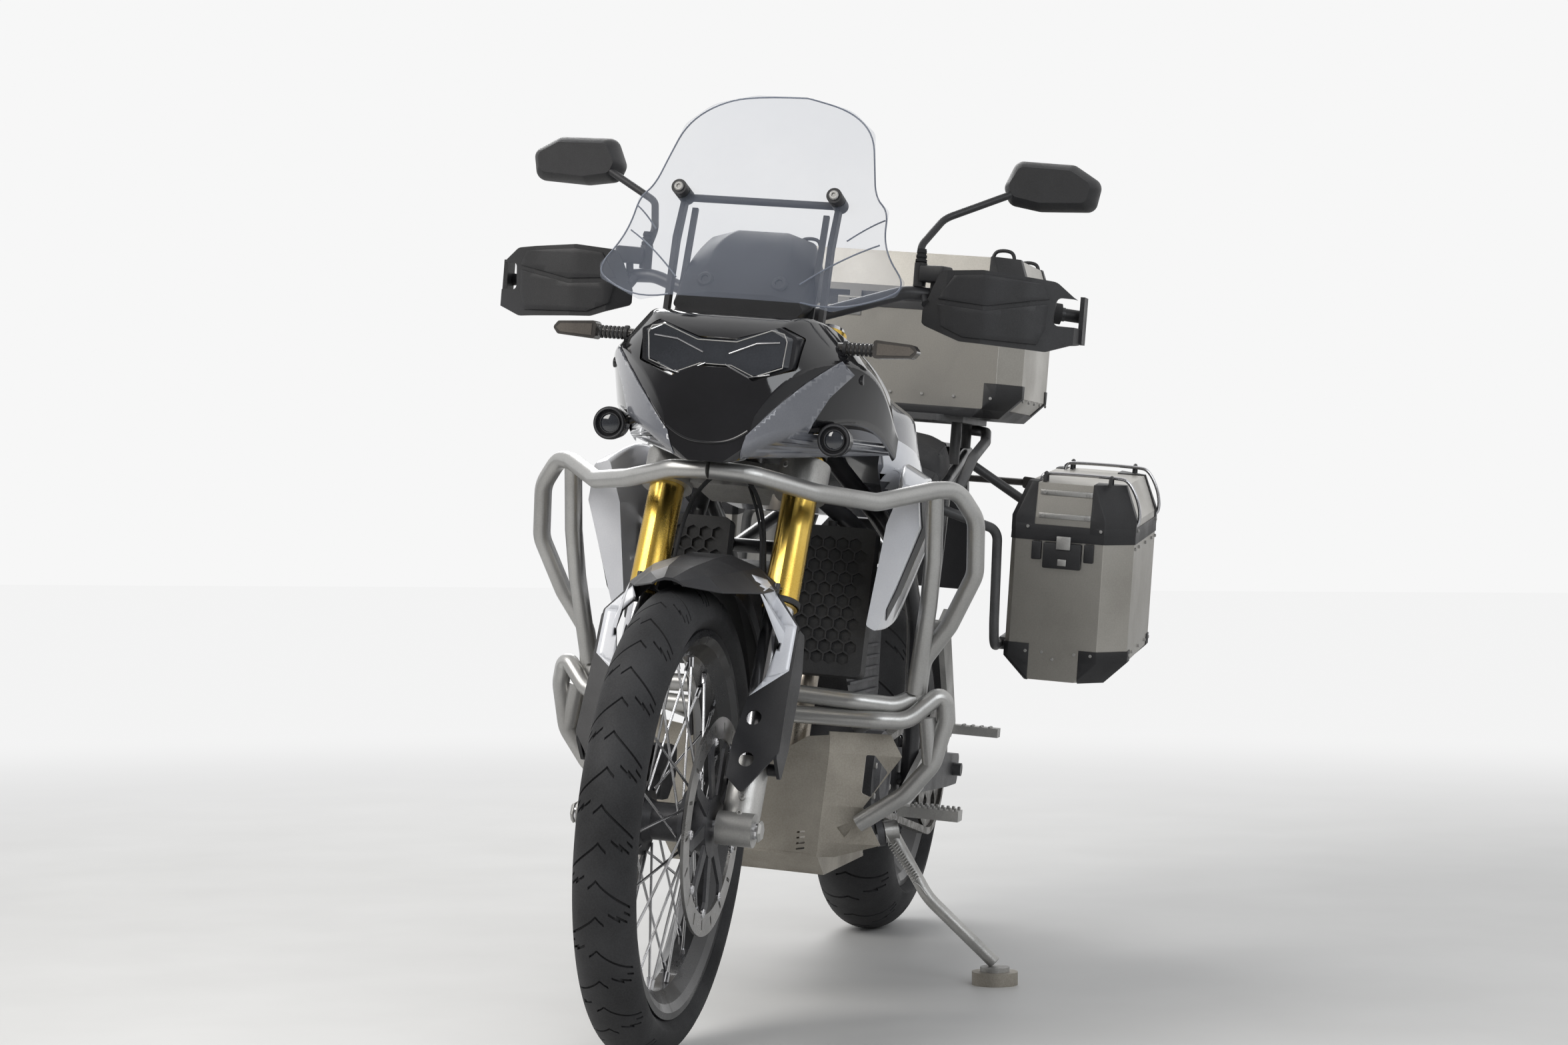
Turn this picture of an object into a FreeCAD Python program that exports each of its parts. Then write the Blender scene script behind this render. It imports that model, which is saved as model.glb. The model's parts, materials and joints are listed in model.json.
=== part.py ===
"""Adventure motorcycle with luggage, parked on its side stand.

Every piece is modelled on the upright motorcycle, in millimetres: X runs forwards, Y to the rider's
left and Z up, and the origin is on the ground midway between the wheel centres. At the end each
sub-part is laid over by the lean angle, so that both tyres and the puck under the stand touch the
floor at Z = 0. What turns with the handlebar is drawn in the fork's frame, whose origin is the front
axle and whose Z runs up along the fork legs.
"""
import FreeCAD, Part
import math
import os
import Sketcher
from FreeCAD import Placement, Rotation, Vector

os.makedirs("parts", exist_ok=True)
doc = FreeCAD.newDocument("AdventureMotorcycle")

# Driving sizes: name, value in millimetres or degrees, what it is
SIZES = [
    ("wheelbase", 1551, "between the wheel centres"),
    ("front_axle_place", 775.5, "front wheel's centre ahead of the middle of the bodywork"),
    ("rake", 24.4, "fork legs from the vertical, degrees"),
    ("lean", 4.65, "lean on the side stand, degrees"),
    ("fit_gap", 0.2, "between pieces that seat on each other"),
    ("running_gap", 0.05, "radial play of a shaft in its bore"),
    ("front_tyre_radius", 347.7, ""),
    ("front_tyre_width", 90, ""),
    ("front_bead_radius", 269, ""),
    ("front_rim_width", 62, "inside the rim's lips"),
    ("rear_tyre_radius", 320.9, ""),
    ("rear_tyre_width", 150, ""),
    ("rear_bead_radius", 218.5, ""),
    ("rear_rim_width", 108, "inside the rim's lips"),
    ("rim_lip", 15, "lip height above the bead seat"),
    ("rim_lip_thick", 4.5, ""),
    ("rim_depth", 24, "well depth below the bead seat"),
    ("spoke_count", 36, "in each wheel"),
    ("spoke_dia", 4, ""),
    ("spoke_lacing", 38, "degrees from flange hole to rim hole"),
    ("front_axle_dia", 25, ""),
    ("rear_axle_dia", 25, ""),
    ("hub_barrel_dia", 56, ""),
    ("flange_dia", 104, ""),
    ("front_disc_dia", 320, ""),
    ("front_disc_band", 32, "width of the braking band"),
    ("disc_thick", 4.5, ""),
    ("front_disc_track", 136, "between the two front discs"),
    ("fender_wall", 4, "thickness of the front mudguard and fork shields"),
    ("fork_guard_place", 26, "fork shields ahead of the axle line"),
    ("rear_disc_dia", 255, ""),
    ("rear_disc_place", -92, "Y of the rear disc"),
    ("axle_lead", 15, "axle ahead of the fork legs"),
    ("clamp_offset", 25, "fork legs ahead of the steering axis"),
    ("fork_spread", 210, "between the fork legs"),
    ("outer_tube_dia", 54, "gold upper tubes"),
    ("inner_tube_dia", 45, "sliding tubes"),
    ("outer_tube_low", 355, "up the fork from the axle"),
    ("outer_tube_high", 818, ""),
    ("lower_clamp_low", 538, ""),
    ("lower_clamp_high", 592, ""),
    ("upper_clamp_low", 772, ""),
    ("upper_clamp_high", 804, ""),
    ("lower_clamp_boss", 78, "round each leg"),
    ("upper_clamp_boss", 70, "round each leg"),
    ("moving_gap", 6, "left free beside what turns"),
    ("stem_dia", 30, "steering stem"),
    ("headstock_dia", 62, ""),
    ("headstock_gap", 6, "headstock to each fork clamp"),
    ("bar_dia", 22, ""),
    ("grip_dia", 33, ""),
    ("pivot_dia", 22, "swingarm pivot"),
    ("frame_tube_dia", 30, ""),
    ("rear_tube_dia", 24, "tubes of the rear frame"),
    ("crash_bar_dia", 28, ""),
    ("rack_tube_dia", 18, ""),
    ("mesh_pitch", 21, "honeycomb of the radiator guards"),
    ("chain_place", 94, "Y of the chain's middle"),
    ("chain_wide", 18, ""),
    ("chain_deep", 13, ""),
    ("rear_sprocket_dia", 230, "over its teeth"),
    ("front_sprocket_dia", 78, ""),
    ("sprocket_thick", 6, ""),
    ("swingarm_inner", 112, "Y of the arm's inner face"),
    ("swingarm_thick", 28, ""),
    ("pannier_length", 395, ""),
    ("pannier_width", 220, ""),
    ("pannier_height", 272, "below the lid"),
    ("pannier_lid_height", 90, ""),
    ("pannier_inner", 260, "Y of the inner wall"),
    ("pannier_front", -533, "X of the front wall"),
    ("pannier_floor", 522, "Z of the floor's underside at the front"),
    ("pannier_tilt", 5, "rear end up, degrees"),
    ("pannier_chamfer", 49, ""),
    ("top_case_length", 380, ""),
    ("top_case_width", 480, ""),
    ("top_case_height", 205, "below the lid"),
    ("top_case_lid_height", 92, ""),
    ("top_case_front", -575, "X of the front wall"),
    ("top_case_floor", 995, ""),
    ("top_case_chamfer", 42, ""),
    ("case_wall", 3, "thickness of every case wall"),
    ("lid_gap", 1, "between a case and its lid"),
    ("case_edge", 40, "chamfer along the bottom edges of the cases"),
    ("lid_lip", 26, "upright part of each lid's side"),
    ("lid_taper", 24, "how far each lid's top is drawn in"),
    ("hinge_dia", 7, "knuckles of the lids' hinges"),
    ("hinge_place", 4, "hinge axis outside the case's wall"),
    ("hinge_leaf", 22, "width of each hinge leaf"),
    ("origin_x", -10.16, "middle of the parked motorcycle's outline on the floor"),
    ("origin_y", 75.27, ""),
    ("puck_dia", 78, "round plate under the side stand"),
    ("puck_thick", 22, ""),
    ("puck_x", -80, "place of the puck on the floor"),
    ("puck_y", 366, ""),
    ("stand_pivot_x", -85, ""),
    ("stand_pivot_y", 164, ""),
    ("stand_pivot_z", 270, ""),
    ("stand_leg_dia", 22, ""),
    ("stand_pin_dia", 16, ""),
]

sheet = doc.addObject("Spreadsheet::Sheet", "Sizes")
for row, (name, value, note) in enumerate(SIZES, start=1):
    sheet.set(f"A{row}", name)
    sheet.set(f"B{row}", str(value))
    sheet.set(f"C{row}", note)
    sheet.setAlias(f"B{row}", name)
doc.recompute()


class Sizes:
    """The sheet's values, read back by name."""


size = Sizes()
for name, value, note in SIZES:
    setattr(size, name, float(sheet.get(name)))

# Frames
RAKE = math.radians(size.rake)
LEAN = math.radians(size.lean)
FRONT_AXLE = Vector(size.front_axle_place, 0, size.front_tyre_radius)
REAR_AXLE = Vector(size.front_axle_place - size.wheelbase, 0, size.rear_tyre_radius)
UPRIGHT = Placement()
FORK = Placement(FRONT_AXLE, Rotation(Vector(0, 1, 0), -size.rake))
FRONT_WHEEL = Placement(FRONT_AXLE, Rotation())
REAR_WHEEL = Placement(REAR_AXLE, Rotation())
CROWN_RISE = size.rear_tyre_width / 2 * (1 - math.cos(LEAN))
LEANED = Placement(Vector(0, 0, CROWN_RISE), Rotation(Vector(1, 0, 0), -size.lean))
PARKED = Placement(Vector(-size.origin_x, -size.origin_y, 0), Rotation()) * LEANED
STEERING_X = -(size.axle_lead + size.clamp_offset)
LEG_X = -size.axle_lead
LEG_Y = size.fork_spread / 2

sub_parts = []


# Building blocks

def origin_feature(body, role):
    return next(feature for feature in body.Origin.OriginFeatures if feature.Role == role)


def new_body(name, frame=UPRIGHT):
    body = doc.addObject("PartDesign::Body", name)
    body.AllowCompound = True
    body.Placement = frame
    return body


def outline(points, radius=0):
    """Edges of a closed outline through 2-D points; radius rounds every corner or, as a list, each one."""
    count = len(points)
    radii = radius if isinstance(radius, (list, tuple)) else [radius] * count
    corners = []
    for index, (point, corner_radius) in enumerate(zip(points, radii)):
        here = Vector(point[0], point[1], 0)
        before = Vector(points[index - 1][0], points[index - 1][1], 0)
        after = Vector(points[(index + 1) % count][0], points[(index + 1) % count][1], 0)
        to_before = (before - here).normalize()
        to_after = (after - here).normalize()
        half_turn = to_before.getAngle(to_after) / 2
        if corner_radius <= 0 or abs(half_turn - math.pi / 2) < 1e-4:
            corners.append((here, here, here))
            continue
        setback = corner_radius / math.tan(half_turn)
        centre = here + (to_before + to_after).normalize() * (corner_radius / math.sin(half_turn))
        middle = centre + (here - centre).normalize() * corner_radius
        corners.append((here + to_before * setback, middle, here + to_after * setback))
    edges = []
    for index, (start, middle, end) in enumerate(corners):
        if start.distanceToPoint(end) > 1e-6:
            edges.append(Part.Arc(start, middle, end))
        following = corners[(index + 1) % count][0]
        if end.distanceToPoint(following) > 1e-6:
            edges.append(Part.LineSegment(end, following))
    return edges


def add_sketch(body, role, edges, offset=0.0):
    """A sketch on one of the body's own planes; XY at height offset, YZ at X = offset, XZ at Y = -offset."""
    sketch = body.newObject("Sketcher::SketchObject", body.Name + "_sketch")
    sketch.AttachmentSupport = [(origin_feature(body, role), "")]
    sketch.MapMode = "FlatFace"
    sketch.AttachmentOffset = Placement(Vector(0, 0, offset), Rotation())
    sketch.addGeometry(edges, False)
    return sketch


def circle_sketch(body, role, centre, diameter, offset=0.0):
    """A round sketch whose diameter is a number or the name of a size in the sheet."""
    radius = (getattr(size, diameter) if isinstance(diameter, str) else diameter) / 2
    sketch = add_sketch(body, role, [Part.Circle(Vector(centre[0], centre[1], 0), Vector(0, 0, 1), radius)], offset)
    constraint = sketch.addConstraint(Sketcher.Constraint("Diameter", 0, radius * 2))
    if isinstance(diameter, str):
        sketch.setExpression(f"Constraints[{constraint}]", f"Sizes.{diameter}")
    return sketch


def grow(body, kind, sketch, length, both=True, reverse=False):
    """A Pad or Pocket; length is a number or an expression over the sheet."""
    feature = body.newObject("PartDesign::" + kind, body.Name + "_" + kind.lower())
    feature.Profile = sketch
    feature.Midplane = both
    feature.Reversed = reverse
    if isinstance(length, str):
        feature.setExpression("Length", length)
    else:
        feature.Length = length
    sketch.Visibility = False
    return feature


def turn(body, kind, sketch, axis="Y_Axis"):
    """A full Revolution or Groove about one of the body's axes."""
    feature = body.newObject("PartDesign::" + kind, body.Name + "_" + kind.lower())
    feature.Profile = sketch
    feature.ReferenceAxis = (origin_feature(body, axis), [""])
    feature.Angle = 360
    return feature


def loft(body, role, sections, ruled=False):
    """An AdditiveLoft through (offset, edges) sections on one of the body's planes."""
    sketches = [add_sketch(body, role, edges, offset) for offset, edges in sections]
    feature = body.newObject("PartDesign::AdditiveLoft", body.Name + "_loft")
    feature.Profile = sketches[0]
    feature.Sections = sketches[1:]
    feature.Ruled = ruled
    return feature


def mirrored(body, features, role="XZ_Plane"):
    feature = body.newObject("PartDesign::Mirrored", body.Name + "_mirrored")
    feature.Originals = features
    feature.MirrorPlane = (origin_feature(body, role), [""])
    body.Tip = feature
    return feature


def ring(body, features, count, axis="Y_Axis"):
    """A polar pattern about one of the body's axes; count is a number or the name of a size."""
    feature = body.newObject("PartDesign::PolarPattern", body.Name + "_ring")
    feature.Originals = features
    feature.Axis = (origin_feature(body, axis), [""])
    feature.Angle = 360
    if isinstance(count, str):
        feature.setExpression("Occurrences", f"Sizes.{count}")
    else:
        feature.Occurrences = count
    body.Tip = feature
    return feature


def as_feature(name, shape, frame=UPRIGHT):
    feature = doc.addObject("Part::Feature", name)
    feature.Shape = shape
    feature.Placement = frame
    return feature


def bent_path(points, bend):
    """Straight runs joined by tangent arcs of the bend radius, or less where the runs are short."""
    vectors = [Vector(*point) for point in points]
    edges = []
    start = vectors[0]
    for before, here, after in zip(vectors, vectors[1:], vectors[2:]):
        to_before = (before - here).normalize()
        to_after = (after - here).normalize()
        half_turn = to_before.getAngle(to_after) / 2
        room = 0.45 * min((before - here).Length, (after - here).Length)
        setback = min(bend / math.tan(half_turn), room)
        radius = setback * math.tan(half_turn)
        arc_start = here + to_before * setback
        arc_end = here + to_after * setback
        centre = here + (to_before + to_after).normalize() * (radius / math.sin(half_turn))
        middle = centre + (here - centre).normalize() * radius
        edges.append(Part.LineSegment(start, arc_start).toShape())
        edges.append(Part.Arc(arc_start, middle, arc_end).toShape())
        start = arc_end
    edges.append(Part.LineSegment(start, vectors[-1]).toShape())
    return Part.Wire(edges)


def tube_shape(points, diameter, bend=60.0):
    path = bent_path(points, bend)
    first = Vector(*points[0])
    along = Vector(*points[1]) - first
    section = Part.Wire(Part.Circle(first, along, diameter / 2).toShape())
    return path.makePipeShell([section], True, False)


def mirror_y(shape):
    return shape.mirror(Vector(0, 0, 0), Vector(0, 1, 0))


def tubes(name, routes, diameter, bend=60.0, sides=True, frame=UPRIGHT):
    """Tubes welded into one solid; sides adds the mirror image of every tube."""
    shapes = []
    for route in routes:
        shape = tube_shape(route, diameter, bend)
        shapes.append(shape)
        if sides:
            shapes.append(mirror_y(shape))
    return as_feature(name, weld(shapes), frame)


def weld(shapes):
    """One shape from several that overlap or touch."""
    if len(shapes) == 1:
        return shapes[0]
    return shapes[0].multiFuse(shapes[1:])


def rod(name, start, end, diameter, frame=UPRIGHT):
    """A Part::Cylinder between two points; diameter is a number or the name of a size."""
    start = Vector(*start)
    along = Vector(*end) - start
    cylinder = doc.addObject("Part::Cylinder", name)
    if isinstance(diameter, str):
        cylinder.setExpression("Radius", f"Sizes.{diameter} / 2")
    else:
        cylinder.Radius = diameter / 2
    cylinder.Height = along.Length
    cylinder.Placement = frame * Placement(start, Rotation(Vector(0, 0, 1), along))
    return cylinder


def box(name, low, high, frame=UPRIGHT):
    block = doc.addObject("Part::Box", name)
    block.Length = high[0] - low[0]
    block.Width = high[1] - low[1]
    block.Height = high[2] - low[2]
    block.Placement = frame * Placement(Vector(*low), Rotation())
    return block


def fused(name, pieces):
    feature = doc.addObject("Part::MultiFuse", name)
    feature.Shapes = pieces
    feature.Refine = False
    return feature


def mirror_of(name, source):
    feature = doc.addObject("Part::Mirroring", name)
    feature.Source = source
    feature.Normal = Vector(0, 1, 0)
    return feature


def both_sides(name, source):
    """The piece and its mirror image, as two solids."""
    pair = doc.addObject("Part::Compound", name)
    pair.Links = [source, mirror_of(name + "_right", source)]
    return pair


def cut(name, base, tools):
    """The base without the tools."""
    tool = tools[0] if len(tools) == 1 else fused(name + "_tools", tools)
    feature = doc.addObject("Part::Cut", name)
    feature.Base = base
    feature.Tool = tool
    return feature


def common(name, first, second):
    feature = doc.addObject("Part::Common", name)
    feature.Base = first
    feature.Tool = second
    return feature


def sub_part(label, piece):
    """Lays the upright piece over on the stand and keeps it as one node."""
    holder = doc.addObject("Part::Compound", label)
    holder.Label = label
    holder.Links = [piece]
    holder.Placement = PARKED
    sub_parts.append(holder)
    return holder


# Wheels

def tyre(name, radius, width, bead, rim_width, frame):
    body = new_body(name, frame)
    half = width / 2
    neck = rim_width / 2 - 0.6
    shoulder = radius - half
    low = bead + size.fit_gap
    lip_top = bead + size.rim_lip
    edges = [
        Part.LineSegment(Vector(-neck, low, 0), Vector(-neck, lip_top, 0)),
        Part.Arc(Vector(-neck, lip_top, 0), Vector(-half * 0.93, (lip_top + shoulder * 2) / 3, 0),
                 Vector(-half, shoulder, 0)),
        Part.Arc(Vector(-half, shoulder, 0), Vector(0, radius, 0), Vector(half, shoulder, 0)),
        Part.Arc(Vector(half, shoulder, 0), Vector(half * 0.93, (lip_top + shoulder * 2) / 3, 0),
                 Vector(neck, lip_top, 0)),
        Part.LineSegment(Vector(neck, lip_top, 0), Vector(neck, low, 0)),
        Part.LineSegment(Vector(neck, low, 0), Vector(-neck, low, 0)),
    ]
    turn(body, "Revolution", add_sketch(body, "YZ_Plane", edges))
    return body


def rim(name, bead, rim_width, frame):
    body = new_body(name, frame)
    inner = rim_width / 2
    outer = inner + size.rim_lip_thick
    top = bead + size.rim_lip
    well = bead - size.rim_depth
    well_half = inner * 0.42
    points = [(-outer, top), (-inner, top), (-inner, bead), (inner, bead), (inner, top), (outer, top),
              (outer, bead + 5), (inner * 0.94, bead - 7), (well_half, well),
              (-well_half, well), (-inner * 0.94, bead - 7), (-outer, bead + 5)]
    turn(body, "Revolution", add_sketch(body, "YZ_Plane", outline(points)))
    return body


def spokes(name, bead, flange_low, flange_high, frame):
    """Crossed wire spokes: every second one leaves the left flange, in turn from its outer and inner face."""
    count = int(size.spoke_count)
    flange_radius = size.flange_dia / 2 - 6
    rim_radius = bead - size.rim_depth - size.fit_gap
    outside = flange_high + size.spoke_dia / 2 + 2.6
    inside = flange_low - size.spoke_dia / 2 - size.fit_gap
    shapes = []
    for index in range(count):
        side = 1 if index % 2 == 0 else -1
        lacing = size.spoke_lacing if index % 4 < 2 else -size.spoke_lacing
        place = outside if index % 4 < 2 else inside
        rim_angle = math.radians(360 * index / count)
        hub_angle = rim_angle + math.radians(lacing)
        start = Vector(flange_radius * math.cos(hub_angle), side * place, flange_radius * math.sin(hub_angle))
        end = Vector(rim_radius * math.cos(rim_angle), side * 7, rim_radius * math.sin(rim_angle))
        along = end - start
        shapes.append(Part.makeCylinder(size.spoke_dia / 2, along.Length - 0.5, start, along))
    return as_feature(name, Part.makeCompound(shapes), frame)


def disc_ring(name, dia, band, place, holes, frame):
    """A slotted brake disc at Y = place."""
    body = new_body(name, frame)
    middle = dia / 2 - band / 2
    sketch = circle_sketch(body, "XZ_Plane", (0, 0), dia, -place)
    inner = Part.Circle(Vector(0, 0, 0), Vector(0, 0, 1), dia / 2 - band)
    sketch.addGeometry(inner, False)
    grow(body, "Pad", sketch, "Sizes.disc_thick")
    slot = outline([(middle - 9, -3), (middle + 7, -9), (middle + 9, -4), (middle - 7, 2)], 1.5)
    slot_cut = grow(body, "Pocket", add_sketch(body, "XZ_Plane", slot, -place), 20)
    ring(body, [slot_cut], holes)
    return body


def build_front_wheel():
    sub_part("front_tyre", tyre("front_tyre_upright", size.front_tyre_radius, size.front_tyre_width,
                                size.front_bead_radius, size.front_rim_width, FRONT_WHEEL))
    sub_part("front_rim", rim("front_rim_upright", size.front_bead_radius, size.front_rim_width, FRONT_WHEEL))
    hub = new_body("front_hub_barrel", FRONT_WHEEL)
    half_hub = size.front_disc_track / 2 + 3
    carrier_y = size.front_disc_track / 2
    carrier_out = size.front_disc_dia / 2 - size.front_disc_band - size.fit_gap
    bore = size.front_axle_dia / 2 + size.running_gap
    barrel = size.hub_barrel_dia / 2
    flange = size.flange_dia / 2
    low = 30
    high = 36
    profile = [(-half_hub, bore), (half_hub, bore), (half_hub, 46),
               (carrier_y - 3, 46), (high + 6, 34), (high, 34), (high, flange), (low, flange), (low, 34),
               (18, barrel), (-18, barrel), (-low, 34), (-low, flange), (-high, flange), (-high, 34),
               (-high - 6, 34), (-carrier_y + 3, 46), (-half_hub, 46)]
    turn(hub, "Revolution", add_sketch(hub, "YZ_Plane", outline(profile)))
    arm = outline([(36, -11), (carrier_out - 14, -26), (carrier_out - 2.2, -21), (carrier_out - 0.4, 0),
                   (carrier_out - 18, -8), (40, 9)], 2)
    arms = grow(hub, "Pad", add_sketch(hub, "XZ_Plane", arm, -carrier_y), "Sizes.disc_thick")
    arms_right = grow(hub, "Pad", add_sketch(hub, "XZ_Plane", arm, carrier_y), "Sizes.disc_thick")
    ring(hub, [arms, arms_right], 9)
    sub_part("front_hub", hub)
    sub_part("front_spokes", spokes("front_wire", size.front_bead_radius, low, high, FRONT_WHEEL))
    left = disc_ring("front_disc_left", size.front_disc_dia, size.front_disc_band, carrier_y, 18, FRONT_WHEEL)
    right = disc_ring("front_disc_right", size.front_disc_dia, size.front_disc_band, -carrier_y, 18, FRONT_WHEEL)
    pair = doc.addObject("Part::Compound", "front_discs_upright")
    pair.Links = [left, right]
    sub_part("front_discs", pair)


def build_rear_wheel():
    sub_part("rear_tyre", tyre("rear_tyre_upright", size.rear_tyre_radius, size.rear_tyre_width,
                               size.rear_bead_radius, size.rear_rim_width, REAR_WHEEL))
    sub_part("rear_rim", rim("rear_rim_upright", size.rear_bead_radius, size.rear_rim_width, REAR_WHEEL))
    hub = new_body("rear_hub_barrel", REAR_WHEEL)
    bore = size.rear_axle_dia / 2 + size.running_gap
    flange = size.flange_dia / 2
    sprocket_face = size.chain_place - size.sprocket_thick / 2
    disc_face = -size.rear_disc_place - size.disc_thick / 2
    end = size.swingarm_inner - 5
    low = 34
    high = 40
    profile = [(-end, bore), (end, bore), (end, 26), (sprocket_face - size.fit_gap, 26),
               (sprocket_face - size.fit_gap, 62), (62, 74), (54, 74), (50, 36), (high, 36), (high, flange),
               (low, flange), (low, 36), (-low, 36), (-low, flange), (-high, flange), (-high, 36), (-50, 36),
               (-disc_face + size.fit_gap, 44),
               (-disc_face + size.fit_gap, 26), (-end, 24)]
    turn(hub, "Revolution", add_sketch(hub, "YZ_Plane", outline(profile)))
    sub_part("rear_hub", hub)
    sub_part("rear_spokes", spokes("rear_wire", size.rear_bead_radius, low, high, REAR_WHEEL))
    disc = disc_ring("rear_disc_band", size.rear_disc_dia, 42, size.rear_disc_place, 15, REAR_WHEEL)
    carrier = new_body("rear_disc_carrier", REAR_WHEEL)
    sketch = circle_sketch(carrier, "XZ_Plane", (0, 0), size.rear_disc_dia - 82, -size.rear_disc_place)
    sketch.addGeometry(Part.Circle(Vector(0, 0, 0), Vector(0, 0, 1), 26 + size.fit_gap), False)
    grow(carrier, "Pad", sketch, "Sizes.disc_thick")
    window = outline([(50, -12), (76, -16), (76, 12), (54, 12)], 4)
    windows = grow(carrier, "Pocket", add_sketch(carrier, "XZ_Plane", window, -size.rear_disc_place), 20)
    ring(carrier, [windows], 6)
    sub_part("rear_disc", fused("rear_disc_upright", [disc, carrier]))
    sprocket = new_body("rear_sprocket_upright", REAR_WHEEL)
    sketch = circle_sketch(sprocket, "XZ_Plane", (0, 0), "rear_sprocket_dia", -size.chain_place)
    sketch.addGeometry(Part.Circle(Vector(0, 0, 0), Vector(0, 0, 1), 26 + size.fit_gap), False)
    grow(sprocket, "Pad", sketch, "Sizes.sprocket_thick")
    window = outline([(62, -14), (96, -22), (96, 22), (62, 14)], 6)
    windows = grow(sprocket, "Pocket", add_sketch(sprocket, "XZ_Plane", window, -size.chain_place), 20)
    ring(sprocket, [windows], 6)
    sub_part("rear_sprocket", sprocket)


# Steering

def leg_round(name, low, high, diameter, bore=0):
    """A round piece about the left fork leg, mirrored to the right one."""
    body = new_body(name, FORK)
    sketch = circle_sketch(body, "XY_Plane", (LEG_X, LEG_Y), diameter, low)
    pad = grow(body, "Pad", sketch, high - low, both=False)
    features = [pad]
    if bore:
        hole = circle_sketch(body, "XY_Plane", (LEG_X, LEG_Y), bore, low)
        features.append(grow(body, "Pocket", hole, high - low, both=False, reverse=True))
    mirrored(body, features)
    return body


def clamp(name, low, high, boss):
    """A fork clamp: a bridge with a boss round each leg, bored for the legs."""
    body = new_body(name, FORK)
    half = LEG_Y + boss / 2
    bridge = outline([(STEERING_X - 28, -46), (STEERING_X + 18, -60), (LEG_X - 12, -half + 14),
                      (LEG_X + 14, -LEG_Y), (LEG_X + 10, -40), (LEG_X + 16, 0), (LEG_X + 10, 40),
                      (LEG_X + 14, LEG_Y), (LEG_X - 12, half - 14), (STEERING_X + 18, 60),
                      (STEERING_X - 28, 46)], 4)
    grow(body, "Pad", add_sketch(body, "XY_Plane", bridge, low + 6), high - low - 12, both=False)
    for side in (1, -1):
        grow(body, "Pad", circle_sketch(body, "XY_Plane", (LEG_X, side * LEG_Y), boss, low), high - low, both=False)
    for side in (1, -1):
        hole = circle_sketch(body, "XY_Plane", (LEG_X, side * LEG_Y), size.outer_tube_dia + 2 * size.fit_gap, low)
        grow(body, "Pocket", hole, high - low, both=False, reverse=True)
    return body


def build_fork():
    outer = leg_round("fork_outer_upright", size.outer_tube_low, size.outer_tube_high, "outer_tube_dia",
                      size.inner_tube_dia + 2 * size.fit_gap)
    caps = leg_round("fork_caps", size.outer_tube_high, size.outer_tube_high + 8, 44)
    sub_part("fork_outer_tubes", outer)
    inner = leg_round("fork_inner_upright", 66, size.outer_tube_high, "inner_tube_dia")
    sub_part("fork_inner_tubes", fused("fork_inner_with_caps", [inner, caps]))
    feet = new_body("fork_feet_upright", FORK)
    low = 78
    foot = circle_sketch(feet, "XZ_Plane", (0, 0), 50, -(low + 27))
    boss = grow(feet, "Pad", foot, 54)
    column = circle_sketch(feet, "XY_Plane", (LEG_X, LEG_Y), 56, 8)
    pillar = grow(feet, "Pad", column, 66 + 44 - 8, both=False)
    lug = outline([(LEG_X - 20, 30), (LEG_X - 20, 110), (LEG_X - 62, 128), (LEG_X - 74, 112), (LEG_X - 66, 52)], 6)
    ear = grow(feet, "Pad", add_sketch(feet, "XZ_Plane", lug, -(LEG_Y - 4)), 12)
    seat = circle_sketch(feet, "XY_Plane", (LEG_X, LEG_Y), size.inner_tube_dia + 2 * size.fit_gap, 65.8)
    socket = grow(feet, "Pocket", seat, 120, both=False, reverse=True)
    hole = circle_sketch(feet, "XZ_Plane", (0, 0), size.front_axle_dia + 2 * size.fit_gap, -LEG_Y)
    bore = grow(feet, "Pocket", hole, 120)
    mirrored(feet, [boss, pillar, ear, socket, bore])
    sub_part("fork_feet", feet)
    axle = new_body("front_axle_upright", FORK)
    grow(axle, "Pad", circle_sketch(axle, "XZ_Plane", (0, 0), "front_axle_dia"), 2 * (LEG_Y + 34))
    grow(axle, "Pocket", circle_sketch(axle, "XZ_Plane", (0, 0), 15), 400)
    sub_part("front_axle", axle)
    lower = clamp("lower_clamp", size.lower_clamp_low, size.lower_clamp_high, size.lower_clamp_boss)
    upper = clamp("upper_clamp", size.upper_clamp_low, size.upper_clamp_high, size.upper_clamp_boss)
    stem = rod("steering_stem", (STEERING_X, 0, size.lower_clamp_low + 8),
               (STEERING_X, 0, size.upper_clamp_high + 6), "stem_dia", FORK)
    sub_part("fork_clamps", fused("fork_clamps_upright", [lower, upper, stem]))
    return feet


def build_front_calipers(feet):
    body = new_body("front_calipers_upright", FORK)
    track = size.front_disc_track / 2
    shape = outline([(-94, 62), (-62, 96), (-86, 150), (-128, 160), (-150, 122), (-132, 78)], 10)
    block = grow(body, "Pad", add_sketch(body, "XZ_Plane", shape, -(track + 1)), 54)
    slot_out = size.front_disc_dia / 2 + 6
    room = circle_sketch(body, "XZ_Plane", (0, 0), 2 * slot_out, -track)
    slot = grow(body, "Pocket", room, 15.5)
    mirrored(body, [block, slot])
    return cut("front_calipers_seated", body, [feet])


def hood_section(half, edge, crest, inset=0.0):
    """Arched section of the mudguard's hood; inset draws it in and runs it out below for the inside."""
    low = edge - 30 if inset else edge
    half -= inset
    crest -= inset
    rise = crest - edge
    return section([(half, low), (half, edge + 2), (half * 0.66, edge + rise * 0.66), (half * 0.26, crest)], 1)


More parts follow.
